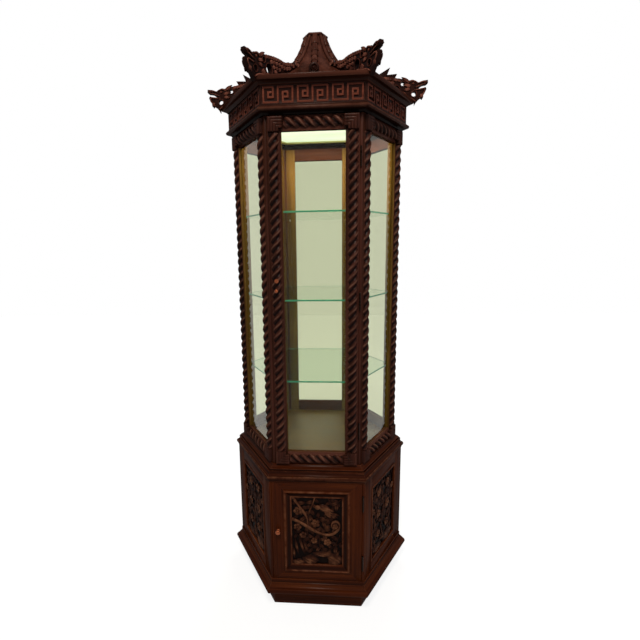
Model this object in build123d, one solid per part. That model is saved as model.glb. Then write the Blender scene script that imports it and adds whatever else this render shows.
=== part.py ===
"""A hexagonal glazed display cabinet on a cupboard base, with a pagoda roof and hip dragons.

Millimetres, +Z up. The origin is on the floor, on the cabinet's upright axis. The front is a
flat face towards -Y, and both doors hang on their right-hand edge as seen from the front.
Every piece of a side is first drawn on the front side, where x runs along the face, -y is the
distance from the axis and z is the height, and is then turned about the axis to its own side.
"""

from build123d import *
import math
import os

# ---------------------------------------------------------------- driving dimensions
# Corner radii of the hexagonal plan
UPPER_RADIUS = 335.0          # glazed case
CUPBOARD_PROJECTION = 34.0    # cupboard beyond the case
PLINTH_SETBACK = 15.0         # plinth inside the cupboard
FRIEZE_PROJECTION = 19.0      # frieze beyond the case
CORNICE_PROJECTION = 28.0     # cornice beyond the frieze

# Heights of the storeys, stacked from the floor
PLINTH_HEIGHT = 62.0
BASE_MOULDING_HEIGHT = 65.0
CUPBOARD_HEIGHT = 423.0
WAIST_HEIGHT = 62.0
CASE_HEIGHT = 1270.0
FRIEZE_MOULDING_HEIGHT = 29.0
FRIEZE_HEIGHT = 62.0
CORNICE_HEIGHT = 24.0
ROOF_HEIGHT = 232.0
CAP_HEIGHT = 9.0

# Timber
BOARD_THICKNESS = 22.0        # frames, doors, plinth and frieze
SHEET_THICKNESS = 12.0        # floors and ceiling
SHEET_SEAT = 13.0             # width of the ledge that a floor or ceiling rests on
FIT = 0.3                     # clearance round a loose board
POST_THICKNESS = 12.0         # corner posts, across the corner's radius
DOOR_GAP = 2.4                # round a door, square to its edge
DOOR_END_GAP = 2.0            # above and below a door

# Glazed case
GLASS_SIDE_MARGIN = 57.5      # from a corner of the case to the glass opening
GLASS_OPENING_FOOT = 49.0     # from the foot of the case to the glass opening
GLASS_OPENING_HEAD = 50.0     # from the top of the case down to the glass opening
GLASS_THICKNESS = 4.0
GLASS_GROOVE_DEPTH = 8.0
GLASS_SETBACK = 9.0           # face of the frame to the glass
GLASS_PLAY = 0.2
ROPE_WIDTH = 38.0
ROPE_HEIGHT = 14.0
ROPE_MARGIN = 7.0             # plain strip between the glass opening and the rope

# Glass shelves
SHELF_LEVELS = (321.0, 633.0, 952.0)      # undersides, above the foot of the case
SHELF_THICKNESS = 6.0
SHELF_EDGE_GAP = 5.3          # between a shelf and the frames round it
PIN_RADIUS = 2.5
PIN_REACH = 11.0              # how far a pin stands out of the frame
PIN_DEPTH = 9.0
PIN_HOLE_PLAY = 0.05
PIN_INSET = 26.0              # from the glass opening's edge to the row of pin holes
PIN_PITCH = 50.0

# Cupboard sides
PANEL_SIDE_MARGIN = 66.5      # from a corner of the cupboard to a side panel's opening
PANEL_OPENING_FOOT = 43.0
PANEL_OPENING_HEAD = 48.0
PANEL_THICKNESS = 9.0
PANEL_SETBACK = 8.0
PANEL_PLAY = 0.4
BEAD_WIDTH = 8.0
BEAD_HEIGHT = 10.0

# Cupboard door
DOOR_PANEL_SIDE_MARGIN = 72.5
DOOR_PANEL_OPENING_FOOT = 53.0
DOOR_PANEL_OPENING_HEAD = 52.0
DOOR_MOULDING_LAP = 18.0      # how far the panel moulding covers the door frame
DOOR_MOULDING_INNER = 14.0    # and how far it covers the panel
DOOR_MOULDING_HEIGHT = 6.5    # crown of its bead above the door frame
DOOR_MOULDING_LIP = 5.0       # width of the thin bead along the panel

# Hinges
HINGE_BARREL_RADIUS = 3.5
HINGE_PIN_RADIUS = 1.5
HINGE_PLAY = 0.05
HINGE_LEAF_THICKNESS = 1.0
HINGE_LEAF_DEPTH = 17.0
HINGE_STANDOFF = 0.6          # between the barrel and the corner of the wood
HINGE_LENGTH = 60.0
HINGE_KNUCKLE_GAP = 0.3
HINGE_TIP_HEIGHT = 5.0
CASE_HINGE_INSET = 139.0      # from the ends of the case to the middle of an end hinge
CUPBOARD_HINGE_INSET = 82.0

# Lock, knobs and catch
LOCK_LEVEL = 712.0            # above the foot of the case
LOCK_BARREL_RADIUS = 6.0
LOCK_FLANGE_RADIUS = 7.5
LOCK_FLANGE_THICKNESS = 1.5
LOCK_PLUG_RADIUS = 4.0
LOCK_PLAY = 0.05
KEYWAY_WIDTH = 1.2
KEYWAY_HEIGHT = 4.8
KEYWAY_DEPTH = 14.0
CAM_WIDTH = 9.0
CAM_THICKNESS = 2.0
CAM_SHORTFALL = 0.8           # between the turned cam's tip and the corner behind the post
CAM_GAP = 4.0                 # between the cam and the back of the door
CASE_KNOB_LEVEL = 677.0       # above the foot of the case
CASE_KNOB_RADIUS = 6.5
CASE_KNOB_LENGTH = 16.0
CUPBOARD_KNOB_LEVEL = 215.0   # above the foot of the cupboard
CUPBOARD_KNOB_RADIUS = 10.0
CUPBOARD_KNOB_LENGTH = 20.0
KNOB_SPINDLE_RADIUS = 2.0
HOLE_PLAY = 0.1
CATCH_WIDTH = 40.0
CATCH_DEPTH = 16.0
CATCH_HEIGHT = 14.0
CATCH_PLATE_THICKNESS = 1.5
CATCH_GAP = 0.3
CATCH_INSET = 32.0            # from the opening edge of the door

# Crown
CEILING_BORDER = 20.0         # wood showing round the diffuser
CEILING_DROP = 6.0            # how far the border hangs below the ledge that it lies on
DIFFUSER_THICKNESS = 4.0
DIFFUSER_SEAT = 4.0
LAMP_WIDTH = 60.0
LAMP_HEIGHT = 22.0
LAMP_END_GAP = 15.0           # between the batten's ends and the corners of the case
GLAND_HOLE_RADIUS = 4.0
GLAND_RADIUS = 7.0
GLAND_FLANGE_RADIUS = 10.0
GLAND_FLANGE_THICKNESS = 2.0
FRET_RELIEF = 4.0
FRET_LINE = 6.0
FRET_PAIRS = 3
FRET_COLUMN = 16.3            # spacing of the fret's upright lines
FRET_ROW = 15.7               # spacing of its level lines
FRET_GAP = 17.6               # between the outer lines of two pairs of scrolls
FRET_BORDER = 4.0
FRET_END_BORDER = 7.0
ROOF_EAVE_INSET = 10.0        # from the cornice's edge to the foot of the roof boards
ROOF_TOP_RADIUS = 41.0
ROOF_WAIST_RADIUS = 72.0
ROOF_WAIST_HEIGHT = 166.0     # above the cornice
ROOF_KNEE_RADIUS = 128.0
ROOF_KNEE_HEIGHT = 105.0
ROOF_SKIRT_RADIUS = 243.0
ROOF_SKIRT_HEIGHT = 36.0
ROOF_BOARD_THICKNESS = 14.0
CAP_RADIUS = 49.0
CAP_CHAMFER = 2.5
RIDGE_WIDTH = 10.0
RIDGE_HEIGHT = 5.0
TILE_WIDTH = 24.0
TILE_HEIGHT = 9.0
TILE_STEP = 2.5               # how far each tile laps over the one below
TILE_FALLS = (35.0, 29.0, 25.0, 27.0, 40.0)      # drop of each tile, from the top
BOSS_RADIUS = 205.0           # hip radius level with the front of the bosses
BOSS_WIDTH = 37.0
BOSS_HEIGHT = 31.0            # above the roof at its front
BOSS_DEPTH = 54.0
DRAGON_TAIL_RADIUS = 124.0
DRAGON_THICKNESS = 16.0

# ---------------------------------------------------------------- derived sizes
BASE_RADIUS = UPPER_RADIUS + CUPBOARD_PROJECTION
PLINTH_RADIUS = BASE_RADIUS - PLINTH_SETBACK
FRIEZE_RADIUS = UPPER_RADIUS + FRIEZE_PROJECTION
CORNICE_RADIUS = FRIEZE_RADIUS + CORNICE_PROJECTION
SIDES = 6
SIDE_ANGLE = 360.0 / SIDES
HALF_ANGLE = math.radians(SIDE_ANGLE / 2)
COS = math.cos(HALF_ANGLE)
TAN = math.tan(HALF_ANGLE)
HALF_TURN = 180.0
FAR = 1000.0                  # longer than any piece, for cutting shapes

FACES = {"front": -90, "right_front": -30, "right_back": 30, "back": 90, "left_back": 150,
         "left_front": 210}
FIXED_FACES = [name for name in FACES if name != "front"]
CORNERS = {"front_right": -60, "right": 0, "back_right": 60, "back_left": 120, "left": 180,
           "front_left": 240}
HINGE_CORNER = CORNERS["front_right"]

# A side of a regular hexagon is as long as its corner radius
GLASS_OPENING_WIDTH = UPPER_RADIUS - 2 * GLASS_SIDE_MARGIN
PANEL_OPENING_WIDTH = BASE_RADIUS - 2 * PANEL_SIDE_MARGIN
DOOR_PANEL_OPENING_WIDTH = BASE_RADIUS - 2 * DOOR_PANEL_SIDE_MARGIN

UPPER_FACE = UPPER_RADIUS * COS
BASE_FACE = BASE_RADIUS * COS
PLINTH_FACE = PLINTH_RADIUS * COS
FRIEZE_FACE = FRIEZE_RADIUS * COS
UPPER_INNER = UPPER_FACE - BOARD_THICKNESS
BASE_INNER = BASE_FACE - BOARD_THICKNESS

PLINTH_TOP = PLINTH_HEIGHT
CUPBOARD_FOOT = PLINTH_TOP + BASE_MOULDING_HEIGHT
CUPBOARD_TOP = CUPBOARD_FOOT + CUPBOARD_HEIGHT
CASE_FOOT = CUPBOARD_TOP + WAIST_HEIGHT
CASE_TOP = CASE_FOOT + CASE_HEIGHT
FRIEZE_FOOT = CASE_TOP + FRIEZE_MOULDING_HEIGHT
FRIEZE_TOP = FRIEZE_FOOT + FRIEZE_HEIGHT
ROOF_FOOT = FRIEZE_TOP + CORNICE_HEIGHT
ROOF_TOP = ROOF_FOOT + ROOF_HEIGHT

GLASS_FOOT = CASE_FOOT + GLASS_OPENING_FOOT
GLASS_TOP = CASE_TOP - GLASS_OPENING_HEAD
SHELF_FACE = UPPER_INNER - SHELF_EDGE_GAP
SHELF_HEIGHTS = [CASE_FOOT + level for level in SHELF_LEVELS]
CASE_HINGES = [CASE_FOOT + CASE_HINGE_INSET, (CASE_FOOT + CASE_TOP) / 2, CASE_TOP - CASE_HINGE_INSET]
CUPBOARD_HINGES = [CUPBOARD_FOOT + CUPBOARD_HINGE_INSET, CUPBOARD_TOP - CUPBOARD_HINGE_INSET]
POST_STRIP = POST_THICKNESS / 2 / COS      # what a post shows on each of its two faces
DOOR_STRIP = (POST_THICKNESS / 2 + DOOR_GAP) / COS

ROPE_MIDDLE = GLASS_OPENING_WIDTH / 2 + ROPE_MARGIN + ROPE_WIDTH / 2
LOCK_X = -ROPE_MIDDLE
LOCK_HEIGHT = CASE_FOOT + LOCK_LEVEL
CAM_LENGTH = UPPER_INNER * TAN - CAM_SHORTFALL - ROPE_MIDDLE
CASE_KNOB_X = -ROPE_MIDDLE
CASE_KNOB_HEIGHT = CASE_FOOT + CASE_KNOB_LEVEL
CUPBOARD_STILE_INNER = DOOR_PANEL_OPENING_WIDTH / 2 + DOOR_MOULDING_LAP
CUPBOARD_KNOB_X = -(CUPBOARD_STILE_INNER + BASE_FACE * TAN - DOOR_STRIP) / 2
CUPBOARD_KNOB_HEIGHT = CUPBOARD_FOOT + CUPBOARD_KNOB_LEVEL
CATCH_X = -(BASE_INNER * TAN - DOOR_STRIP - CATCH_INSET - CATCH_WIDTH / 2)
FRIEZE_INNER = FRIEZE_FACE - BOARD_THICKNESS
DIFFUSER_FACE = UPPER_INNER - CEILING_BORDER + DIFFUSER_SEAT
LAMP_LENGTH = 2 * (UPPER_INNER / COS - LAMP_END_GAP)
CORNICE_FACE = CORNICE_RADIUS * COS
ROOF_EAVE_RADIUS = CORNICE_RADIUS - ROOF_EAVE_INSET


# ---------------------------------------------------------------- helpers
def box(x0, x1, y0, y1, z0, z1):
    """A block between two corners."""
    size = Box(x1 - x0, y1 - y0, z1 - z0)
    return Pos((x0 + x1) / 2, (y0 + y1) / 2, (z0 + z1) / 2) * size


def prism(points, z0, z1):
    """An upright prism on a plan outline."""
    return Pos(0, 0, z0) * extrude(Polygon(*points, align=None), amount=z1 - z0, dir=(0, 0, 1))


def hexagon(face, z0, z1):
    """An upright hexagonal prism with its flats at the given distance from the axis."""
    plan = RegularPolygon(radius=face / COS, side_count=SIDES, rotation=0)
    return Pos(0, 0, z0) * extrude(plan, amount=z1 - z0)


def outline(*steps):
    """A face from points, where ((x, y), sagitta) is reached by an arc that bows to the left."""
    edges = []
    last = steps[0]
    for step in steps[1:]:
        if isinstance(step[0], tuple):
            point, sagitta = step
            edges.append(SagittaArc(last, point, sagitta))
        else:
            point = step
            edges.append(Line(last, point))
        last = point
    if last != steps[0]:
        edges.append(Line(last, steps[0]))
    return make_face(Curve() + edges)


def turn(shape, face):
    """A shape drawn on the front side, turned to the side of that name."""
    return Rot(0, 0, FACES[face] - FACES["front"]) * shape


def wedge(z0, z1):
    """The sixth of the plan that belongs to the front side, between its two mitre planes."""
    return prism([(0, 0), (FAR * TAN, -FAR), (-FAR * TAN, -FAR)], z0, z1)


def across(profile):
    """A profile drawn as (distance from the axis, height), drawn out along the front face."""
    section = Plane(origin=(0, 0, 0), x_dir=(0, -1, 0), z_dir=(-1, 0, 0))
    return extrude(section * profile, amount=FAR, both=True)


def mitred_sides(profile, cut=None):
    """Six boards with one profile, mitred at the corners, as separate solids."""
    board = across(profile) & wedge(-FAR, 3 * FAR)
    if cut is not None:
        board = board - cut
    return [turn(board, face) for face in FACES]


def bay(face, inner, strip, z0, z1):
    """The space of the front side between its two posts, less a strip at each edge."""
    outer_half = face * TAN - strip
    inner_half = inner * TAN - strip
    plan = [(-outer_half, -face), (outer_half, -face), (inner_half, -inner), (-inner_half, -inner)]
    return prism(plan, z0, z1)


def upright(x, y, z, radius, length):
    """A cylinder that runs along +Z from its foot."""
    return Pos(x, y, z + length / 2) * Cylinder(radius, length)


def outward(x, z, radius, start, end):
    """A cylinder that runs out of the front face, between two distances from the axis."""
    return Pos(x, -(start + end) / 2, z) * (Rot(90, 0, 0) * Cylinder(radius, end - start))


def radial_plank(profile, thickness, corner):
    """A plank in the upright plane through a corner, from a (radius, height) profile."""
    section = Plane(origin=(0, 0, 0), x_dir=(1, 0, 0), z_dir=(0, -1, 0))
    plank = extrude(section * profile, amount=thickness / 2, both=True)
    return Rot(0, 0, CORNERS[corner]) * plank


def save(node, *shapes):
    """Writes one node's separate solids to its file."""
    solids = []
    for shape in shapes:
        solids.extend(shape.solids())
    export_step(Compound(children=solids, label=node), os.path.join("parts", node + ".step"))


# ---------------------------------------------------------------- plinth and base moulding
def plinth():
    """Six kick boards."""
    inner = PLINTH_FACE - BOARD_THICKNESS
    return mitred_sides(outline((inner, 0), (PLINTH_FACE, 0), (PLINTH_FACE, PLINTH_TOP),
                                (inner, PLINTH_TOP)))


def base_moulding():
    """The flared foot moulding, with the ledge that the cupboard floor lies on."""
    fillet = 2.5
    nose = BASE_FACE + 26.0
    top = CUPBOARD_FOOT
    seat = BASE_INNER - FIT
    ledge = seat - SHEET_SEAT
    floor = top - SHEET_THICKNESS
    return mitred_sides(outline(
        (ledge, PLINTH_TOP), (PLINTH_FACE + 4, PLINTH_TOP), ((nose - 7, PLINTH_TOP + 8), 2.5),
        ((nose - 4, PLINTH_TOP + 29), -4.5), (nose - 8, PLINTH_TOP + 31),
        ((BASE_FACE + 2 * fillet, top - 17), 3.5), (BASE_FACE + fillet, top - 15),
        (BASE_FACE + fillet, top), (seat, top), (seat, floor), (ledge, floor)))


def cupboard_floor():
    """The board that closes the foot of the cupboard."""
    return hexagon(BASE_INNER - 2 * FIT, CUPBOARD_FOOT - SHEET_THICKNESS, CUPBOARD_FOOT)


# ---------------------------------------------------------------- frames and posts
def corner_posts(radius, z0, z1):
    """Six chevron posts, one on each corner."""
    inner = radius - BOARD_THICKNESS / COS
    half = POST_THICKNESS / 2
    back = half / math.tan(2 * HALF_ANGLE)
    plan = [(radius, 0), (radius - back, half), (inner - back, half), (inner, 0),
            (inner - back, -half), (radius - back, -half)]
    post = prism(plan, z0, z1)
    return [Rot(0, 0, angle) * post for angle in CORNERS.values()]


def frame_members(space, half_width, z0, z1, mitred=False):
    """Two stiles and two rails of a frame that fills a bay round an opening."""
    low, high = space.bounding_box().min, space.bounding_box().max
    y0, y1 = low.Y, high.Y
    if not mitred:
        left = space & box(-FAR, -half_width, y0, y1, low.Z, high.Z)
        right = space & box(half_width, FAR, y0, y1, low.Z, high.Z)
        foot = space & box(-half_width, half_width, y0, y1, low.Z, z0)
        head = space & box(-half_width, half_width, y0, y1, z1, high.Z)
        return [left, right, foot, head]
    members = []
    for corners in mitre_outlines(half_width, z0, z1, FAR):
        members.append(space & slab(corners, y0, y1))
    return members


def mitre_outlines(half_width, z0, z1, width):
    """Outlines in (x, z) of the four members of a mitred frame round an opening."""
    inner = [(-half_width, z0), (half_width, z0), (half_width, z1), (-half_width, z1)]
    signs = [(-1, -1), (1, -1), (1, 1), (-1, 1)]
    outer = [(x + width * sx, z + width * sz) for (x, z), (sx, sz) in zip(inner, signs)]
    ring = range(4)
    return [[inner[i], inner[(i + 1) % 4], outer[(i + 1) % 4], outer[i]] for i in ring]


def slab(corners, y0, y1):
    """A prism on an (x, z) outline between two planes square to the front."""
    face = Plane(origin=(0, y1, 0), x_dir=(1, 0, 0), z_dir=(0, -1, 0)) * Polygon(*corners, align=None)
    return extrude(face, amount=y1 - y0, dir=(0, -1, 0))


def glass_groove():
    """The slot that holds a pane, as one block to cut out of a frame."""
    half = GLASS_OPENING_WIDTH / 2 + GLASS_GROOVE_DEPTH + GLASS_PLAY
    front = UPPER_FACE - GLASS_SETBACK
    back = front - GLASS_THICKNESS - GLASS_PLAY
    reach = GLASS_GROOVE_DEPTH + GLASS_PLAY
    return box(-half, half, -front, -back, GLASS_FOOT - reach, GLASS_TOP + reach)


def glass_pane():
    """One pane, standing in its groove and against its front."""
    half = GLASS_OPENING_WIDTH / 2 + GLASS_GROOVE_DEPTH
    front = UPPER_FACE - GLASS_SETBACK
    foot = GLASS_FOOT - GLASS_GROOVE_DEPTH - GLASS_PLAY
    return box(-half, half, -front, -front + GLASS_THICKNESS, foot, GLASS_TOP + GLASS_GROOVE_DEPTH)


PIN_X = GLASS_OPENING_WIDTH / 2 + PIN_INSET


def pin_columns():
    """Which stiles hold shelf pins: (side, x), two at the back and one near each front corner."""
    return [("back", -PIN_X), ("back", PIN_X), ("right_front", -PIN_X), ("left_front", PIN_X)]


def pin_holes(face):
    """The pin holes of one side, drawn on the front side."""
    holes = []
    radius = PIN_RADIUS + PIN_HOLE_PLAY
    for side, x in pin_columns():
        if side != face:
            continue
        for shelf in SHELF_HEIGHTS:
            for step in (-1, 0, 1):
                z = shelf - PIN_RADIUS + step * PIN_PITCH
                holes.append(outward(x, z, radius, UPPER_INNER - 1, UPPER_INNER + PIN_DEPTH))
    return holes


def case_side_frames():
    """Stiles and rails of the five fixed glazed sides."""
    space = bay(UPPER_FACE, UPPER_INNER, POST_STRIP, CASE_FOOT, CASE_TOP)
    members = frame_members(space, GLASS_OPENING_WIDTH / 2, GLASS_FOOT, GLASS_TOP)
    members = [member - glass_groove() for member in members]
    frames = []
    for face in FIXED_FACES:
        for member in members:
            piece = member
            for hole in pin_holes(face):
                piece = piece - hole
            frames.append(turn(piece, face))
    return frames


def case_door_frame():
    """Stiles and rails of the glazed door, bored for its lock and knob."""
    foot = CASE_FOOT + DOOR_END_GAP
    space = bay(UPPER_FACE, UPPER_INNER, DOOR_STRIP, foot, CASE_TOP - DOOR_END_GAP)
    members = frame_members(space, GLASS_OPENING_WIDTH / 2, GLASS_FOOT, GLASS_TOP)
    return [member - glass_groove() - door_bores() for member in members]


def door_bores():
    """What the lock and the knob's spindle pass through."""
    deep, proud = UPPER_INNER - 1, UPPER_FACE + ROPE_HEIGHT + 1
    lock = outward(LOCK_X, LOCK_HEIGHT, LOCK_BARREL_RADIUS + HOLE_PLAY, deep, proud)
    spindle = outward(CASE_KNOB_X, CASE_KNOB_HEIGHT, KNOB_SPINDLE_RADIUS + HOLE_PLAY, deep, proud)
    return lock + spindle


def rope_mouldings():
    """The four rounded bars round a glass opening, mitred, drawn on the front side."""
    half = GLASS_OPENING_WIDTH / 2 + ROPE_MARGIN
    z0, z1 = GLASS_FOOT - ROPE_MARGIN, GLASS_TOP + ROPE_MARGIN
    middle = ROPE_WIDTH / 2
    section = outline((-middle, 0), (middle, 0), ((-middle, 0), -ROPE_HEIGHT))
    bars = []
    places = [((half + middle, 0, 0), 0), ((-half - middle, 0, 0), 0),
              ((0, 0, z0 - middle), 90), ((0, 0, z1 + middle), 90)]
    outlines = mitre_outlines(half, z0, z1, ROPE_WIDTH)
    limits = [outlines[1], outlines[3], outlines[0], outlines[2]]
    for (place, angle), limit in zip(places, limits):
        bar = extrude(Rot(0, 0, HALF_TURN) * section, amount=2 * FAR, both=True)
        bar = Rot(0, angle, 0) * bar
        bar = Pos(place[0], -UPPER_FACE, place[2]) * bar
        bars.append(bar & slab(limit, -UPPER_FACE - ROPE_HEIGHT - 1, -UPPER_FACE))
    return bars


# ---------------------------------------------------------------- cupboard sides and door
def cupboard_side_frames():
    """Stiles and rails of the five fixed cupboard sides."""
    space = bay(BASE_FACE, BASE_INNER, POST_STRIP, CUPBOARD_FOOT, CUPBOARD_TOP)
    z0, z1 = panel_levels()
    members = frame_members(space, PANEL_OPENING_WIDTH / 2, z0, z1)
    members = [member - panel_groove(PANEL_OPENING_WIDTH, z0, z1) for member in members]
    return [turn(member, face) for face in FIXED_FACES for member in members]


def panel_levels():
    """Foot and head of the opening of a cupboard side."""
    return CUPBOARD_FOOT + PANEL_OPENING_FOOT, CUPBOARD_TOP - PANEL_OPENING_HEAD


def door_panel_levels():
    """Foot and head of the opening of the cupboard door."""
    return CUPBOARD_FOOT + DOOR_PANEL_OPENING_FOOT, CUPBOARD_TOP - DOOR_PANEL_OPENING_HEAD


PANEL_TONGUE = 6.0


def panel_groove(width, z0, z1):
    """The slot that holds a carved panel."""
    reach = PANEL_TONGUE + PANEL_PLAY
    half = width / 2 + reach
    front = BASE_FACE - PANEL_SETBACK
    back = front - PANEL_THICKNESS - PANEL_PLAY
    return box(-half, half, -front, -back, z0 - reach, z1 + reach)


def carved_panel(width, z0, z1):
    """A panel board in its groove, against the groove's front."""
    half = width / 2 + PANEL_TONGUE
    front = BASE_FACE - PANEL_SETBACK
    return box(-half, half, -front, -front + PANEL_THICKNESS, z0 - PANEL_TONGUE, z1 + PANEL_TONGUE)


def panel_beads():
    """A thin mitred bead round each fixed panel, lying on the panel inside the frame."""
    z0, z1 = panel_levels()
    front = BASE_FACE - PANEL_SETBACK
    beads = []
    inner_half = PANEL_OPENING_WIDTH / 2 - BEAD_WIDTH
    for corners in mitre_outlines(inner_half, z0 + BEAD_WIDTH, z1 - BEAD_WIDTH, BEAD_WIDTH):
        beads.append(slab(corners, -front - BEAD_HEIGHT, -front))
    return [turn(bead, face) for face in FIXED_FACES for bead in beads]


def cupboard_door_frame():
    """The mitred frame of the cupboard door."""
    foot = CUPBOARD_FOOT + DOOR_END_GAP
    space = bay(BASE_FACE, BASE_INNER, DOOR_STRIP, foot, CUPBOARD_TOP - DOOR_END_GAP)
    z0, z1 = door_panel_levels()
    members = frame_members(space, DOOR_PANEL_OPENING_WIDTH / 2, z0, z1, mitred=True)
    spindle = outward(CUPBOARD_KNOB_X, CUPBOARD_KNOB_HEIGHT, KNOB_SPINDLE_RADIUS + HOLE_PLAY,
                      BASE_INNER - 1, BASE_FACE + 1)
    groove = panel_groove(DOOR_PANEL_OPENING_WIDTH, z0, z1)
    return [member - groove - spindle for member in members]


def cupboard_door_moulding():
    """The moulding that falls from a bead on the door frame, through a cove, to a lip on the panel."""
    z0, z1 = door_panel_levels()
    half = DOOR_PANEL_OPENING_WIDTH / 2
    lap, sink = DOOR_MOULDING_LAP, DOOR_MOULDING_INNER
    crown = DOOR_MOULDING_HEIGHT
    bead_foot = lap - 9.5
    lip_edge = DOOR_MOULDING_LIP - sink
    section = outline(
        (lap, 0), (lap, crown - 3.5), (lap - 2.5, crown - 3.5), ((bead_foot, crown - 2), -2.75),
        ((lip_edge, -2.5), 0.5), ((-sink, -2.5), -1.2), (-sink, -PANEL_SETBACK), (0, -PANEL_SETBACK),
        (0, 0))
    members = mitre_outlines(half - sink, z0 + sink, z1 - sink, lap + sink)
    away = [(0, -1), (1, 0), (0, 1), (-1, 0)]
    edges = [(0, z0), (half, z0), (0, z1), (-half, z0)]
    pieces = []
    for corners, (x_out, z_out), (x, z) in zip(members, away, edges):
        plane = Plane(origin=(x, -BASE_FACE, z), x_dir=(x_out, 0, z_out), z_dir=(z_out, 0, -x_out))
        bar = extrude(plane * section, amount=FAR, both=True)
        pieces.append(bar & slab(corners, -BASE_FACE - FAR, -BASE_FACE + FAR))
    return pieces


# ---------------------------------------------------------------- waist
def waist_moulding():
    """The stepped moulding between cupboard and case, with the ledge for the case floor."""
    z0, z1 = CUPBOARD_TOP, CASE_FOOT
    nose = BASE_FACE + 8.5
    fillet_low = (BASE_FACE + UPPER_FACE) / 2 + 11.0
    fillet_high = fillet_low - 6.0
    seat = UPPER_INNER - FIT
    ledge = seat - SHEET_SEAT
    floor = z1 + 2.0 - SHEET_THICKNESS
    return mitred_sides(outline(
        (ledge, z0), (BASE_FACE + 1.5, z0), (BASE_FACE + 1.5, z0 + 10), (nose - 3, z0 + 10),
        ((nose - 3, z0 + 25), -3), (nose - 5, z0 + 25), ((fillet_low, z0 + 39), 3),
        (fillet_low, z0 + 44), (fillet_high, z0 + 44), (fillet_high, z0 + 50),
        ((UPPER_FACE + 4.5, z1 - 1), 2), (UPPER_FACE + 4.5, z1), (seat, z1), (seat, floor),
        (ledge, floor)))


def case_floor():
    """The board that the case stands on, seen through the glass."""
    top = CASE_FOOT + 2.0
    return hexagon(UPPER_INNER - 2 * FIT, top - SHEET_THICKNESS, top)


# ---------------------------------------------------------------- shelves and pins
def glass_shelf(height):
    """One hexagonal glass shelf, from its underside."""
    return hexagon(SHELF_FACE, height, height + SHELF_THICKNESS)


def shelf_pins():
    """Four pins under each shelf."""
    pins = []
    for face, x in pin_columns():
        for shelf in SHELF_HEIGHTS:
            pin = outward(x, shelf - PIN_RADIUS, PIN_RADIUS, UPPER_INNER - PIN_REACH,
                          UPPER_INNER + PIN_DEPTH - PIN_HOLE_PLAY)
            pins.append(turn(pin, face))
    return pins


# ---------------------------------------------------------------- hinges
def hinge_line(face, z):
    """A location on the mid plane of the hinge-side gap: x runs into the gap, y to the post."""
    strip = (POST_THICKNESS + DOOR_GAP) / 2 / COS
    x, y = face * TAN - strip, -face
    inwards = HINGE_CORNER + HALF_TURN
    return Location((x, y, z), (0, 0, inwards))


def hinge_axis(face):
    """Where the pin of a door stands in plan."""
    standoff = HINGE_BARREL_RADIUS + HINGE_STANDOFF
    angle = math.radians(HINGE_CORNER)
    strip = (POST_THICKNESS + DOOR_GAP) / 2 / COS
    return face * TAN - strip + standoff * math.cos(angle), -face + standoff * math.sin(angle)


def hinge(face, z):
    """One butt hinge about a height: (leaf on the post, leaf on the door, pin)."""
    centre = -(HINGE_BARREL_RADIUS + HINGE_STANDOFF)
    knuckles = 5
    pitch = HINGE_LENGTH / knuckles
    near = DOOR_GAP / 2 - HINGE_LEAF_THICKNESS
    bore = Pos(centre, 0, 0) * Cylinder(HINGE_PIN_RADIUS + HINGE_PLAY, 2 * HINGE_LENGTH)
    leaves = []
    for side, own in ((-1, (0, 2, 4)), (1, (1, 3))):
        y0, y1 = sorted((side * near, side * (near + HINGE_LEAF_THICKNESS)))
        leaf = box(0.2, HINGE_LEAF_DEPTH, y0, y1, -HINGE_LENGTH / 2, HINGE_LENGTH / 2)
        for number in own:
            foot = -HINGE_LENGTH / 2 + number * pitch + HINGE_KNUCKLE_GAP / 2
            height = pitch - HINGE_KNUCKLE_GAP
            leaf += upright(centre, 0, foot, HINGE_BARREL_RADIUS, height)
            leaf += box(centre, 0.2, y0, y1, foot, foot + height)
        leaves.append(hinge_line(face, z) * (leaf - bore))
    head = HINGE_BARREL_RADIUS - 0.3
    end = HINGE_LENGTH / 2
    pin = upright(centre, 0, -end, HINGE_PIN_RADIUS, 2 * end)
    pin += upright(centre, 0, end, head, HINGE_TIP_HEIGHT / 2)
    pin += upright(centre, 0, -end - HINGE_TIP_HEIGHT / 2, head, HINGE_TIP_HEIGHT / 2)
    return leaves[0], leaves[1], hinge_line(face, z) * pin


# ---------------------------------------------------------------- lock, knobs, catch
def lock_barrel():
    """The fixed sleeve of the cam lock, through the rope moulding and the stile."""
    proud = UPPER_FACE + ROPE_HEIGHT + LOCK_FLANGE_THICKNESS
    barrel = outward(LOCK_X, LOCK_HEIGHT, LOCK_BARREL_RADIUS, UPPER_INNER, proud)
    barrel += outward(LOCK_X, LOCK_HEIGHT, LOCK_FLANGE_RADIUS, proud - LOCK_FLANGE_THICKNESS, proud)
    return barrel - outward(LOCK_X, LOCK_HEIGHT, LOCK_PLUG_RADIUS + LOCK_PLAY, UPPER_INNER - 1, proud + 1)


def lock_plug():
    """The turning plug, with its keyway."""
    proud = UPPER_FACE + ROPE_HEIGHT + LOCK_FLANGE_THICKNESS
    plug = outward(LOCK_X, LOCK_HEIGHT, LOCK_PLUG_RADIUS, UPPER_INNER - CAM_GAP, proud)
    slot = box(LOCK_X - KEYWAY_WIDTH / 2, LOCK_X + KEYWAY_WIDTH / 2, -proud - 1,
               -proud + KEYWAY_DEPTH, LOCK_HEIGHT - KEYWAY_HEIGHT / 2, LOCK_HEIGHT + KEYWAY_HEIGHT / 2)
    return plug - slot


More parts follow.
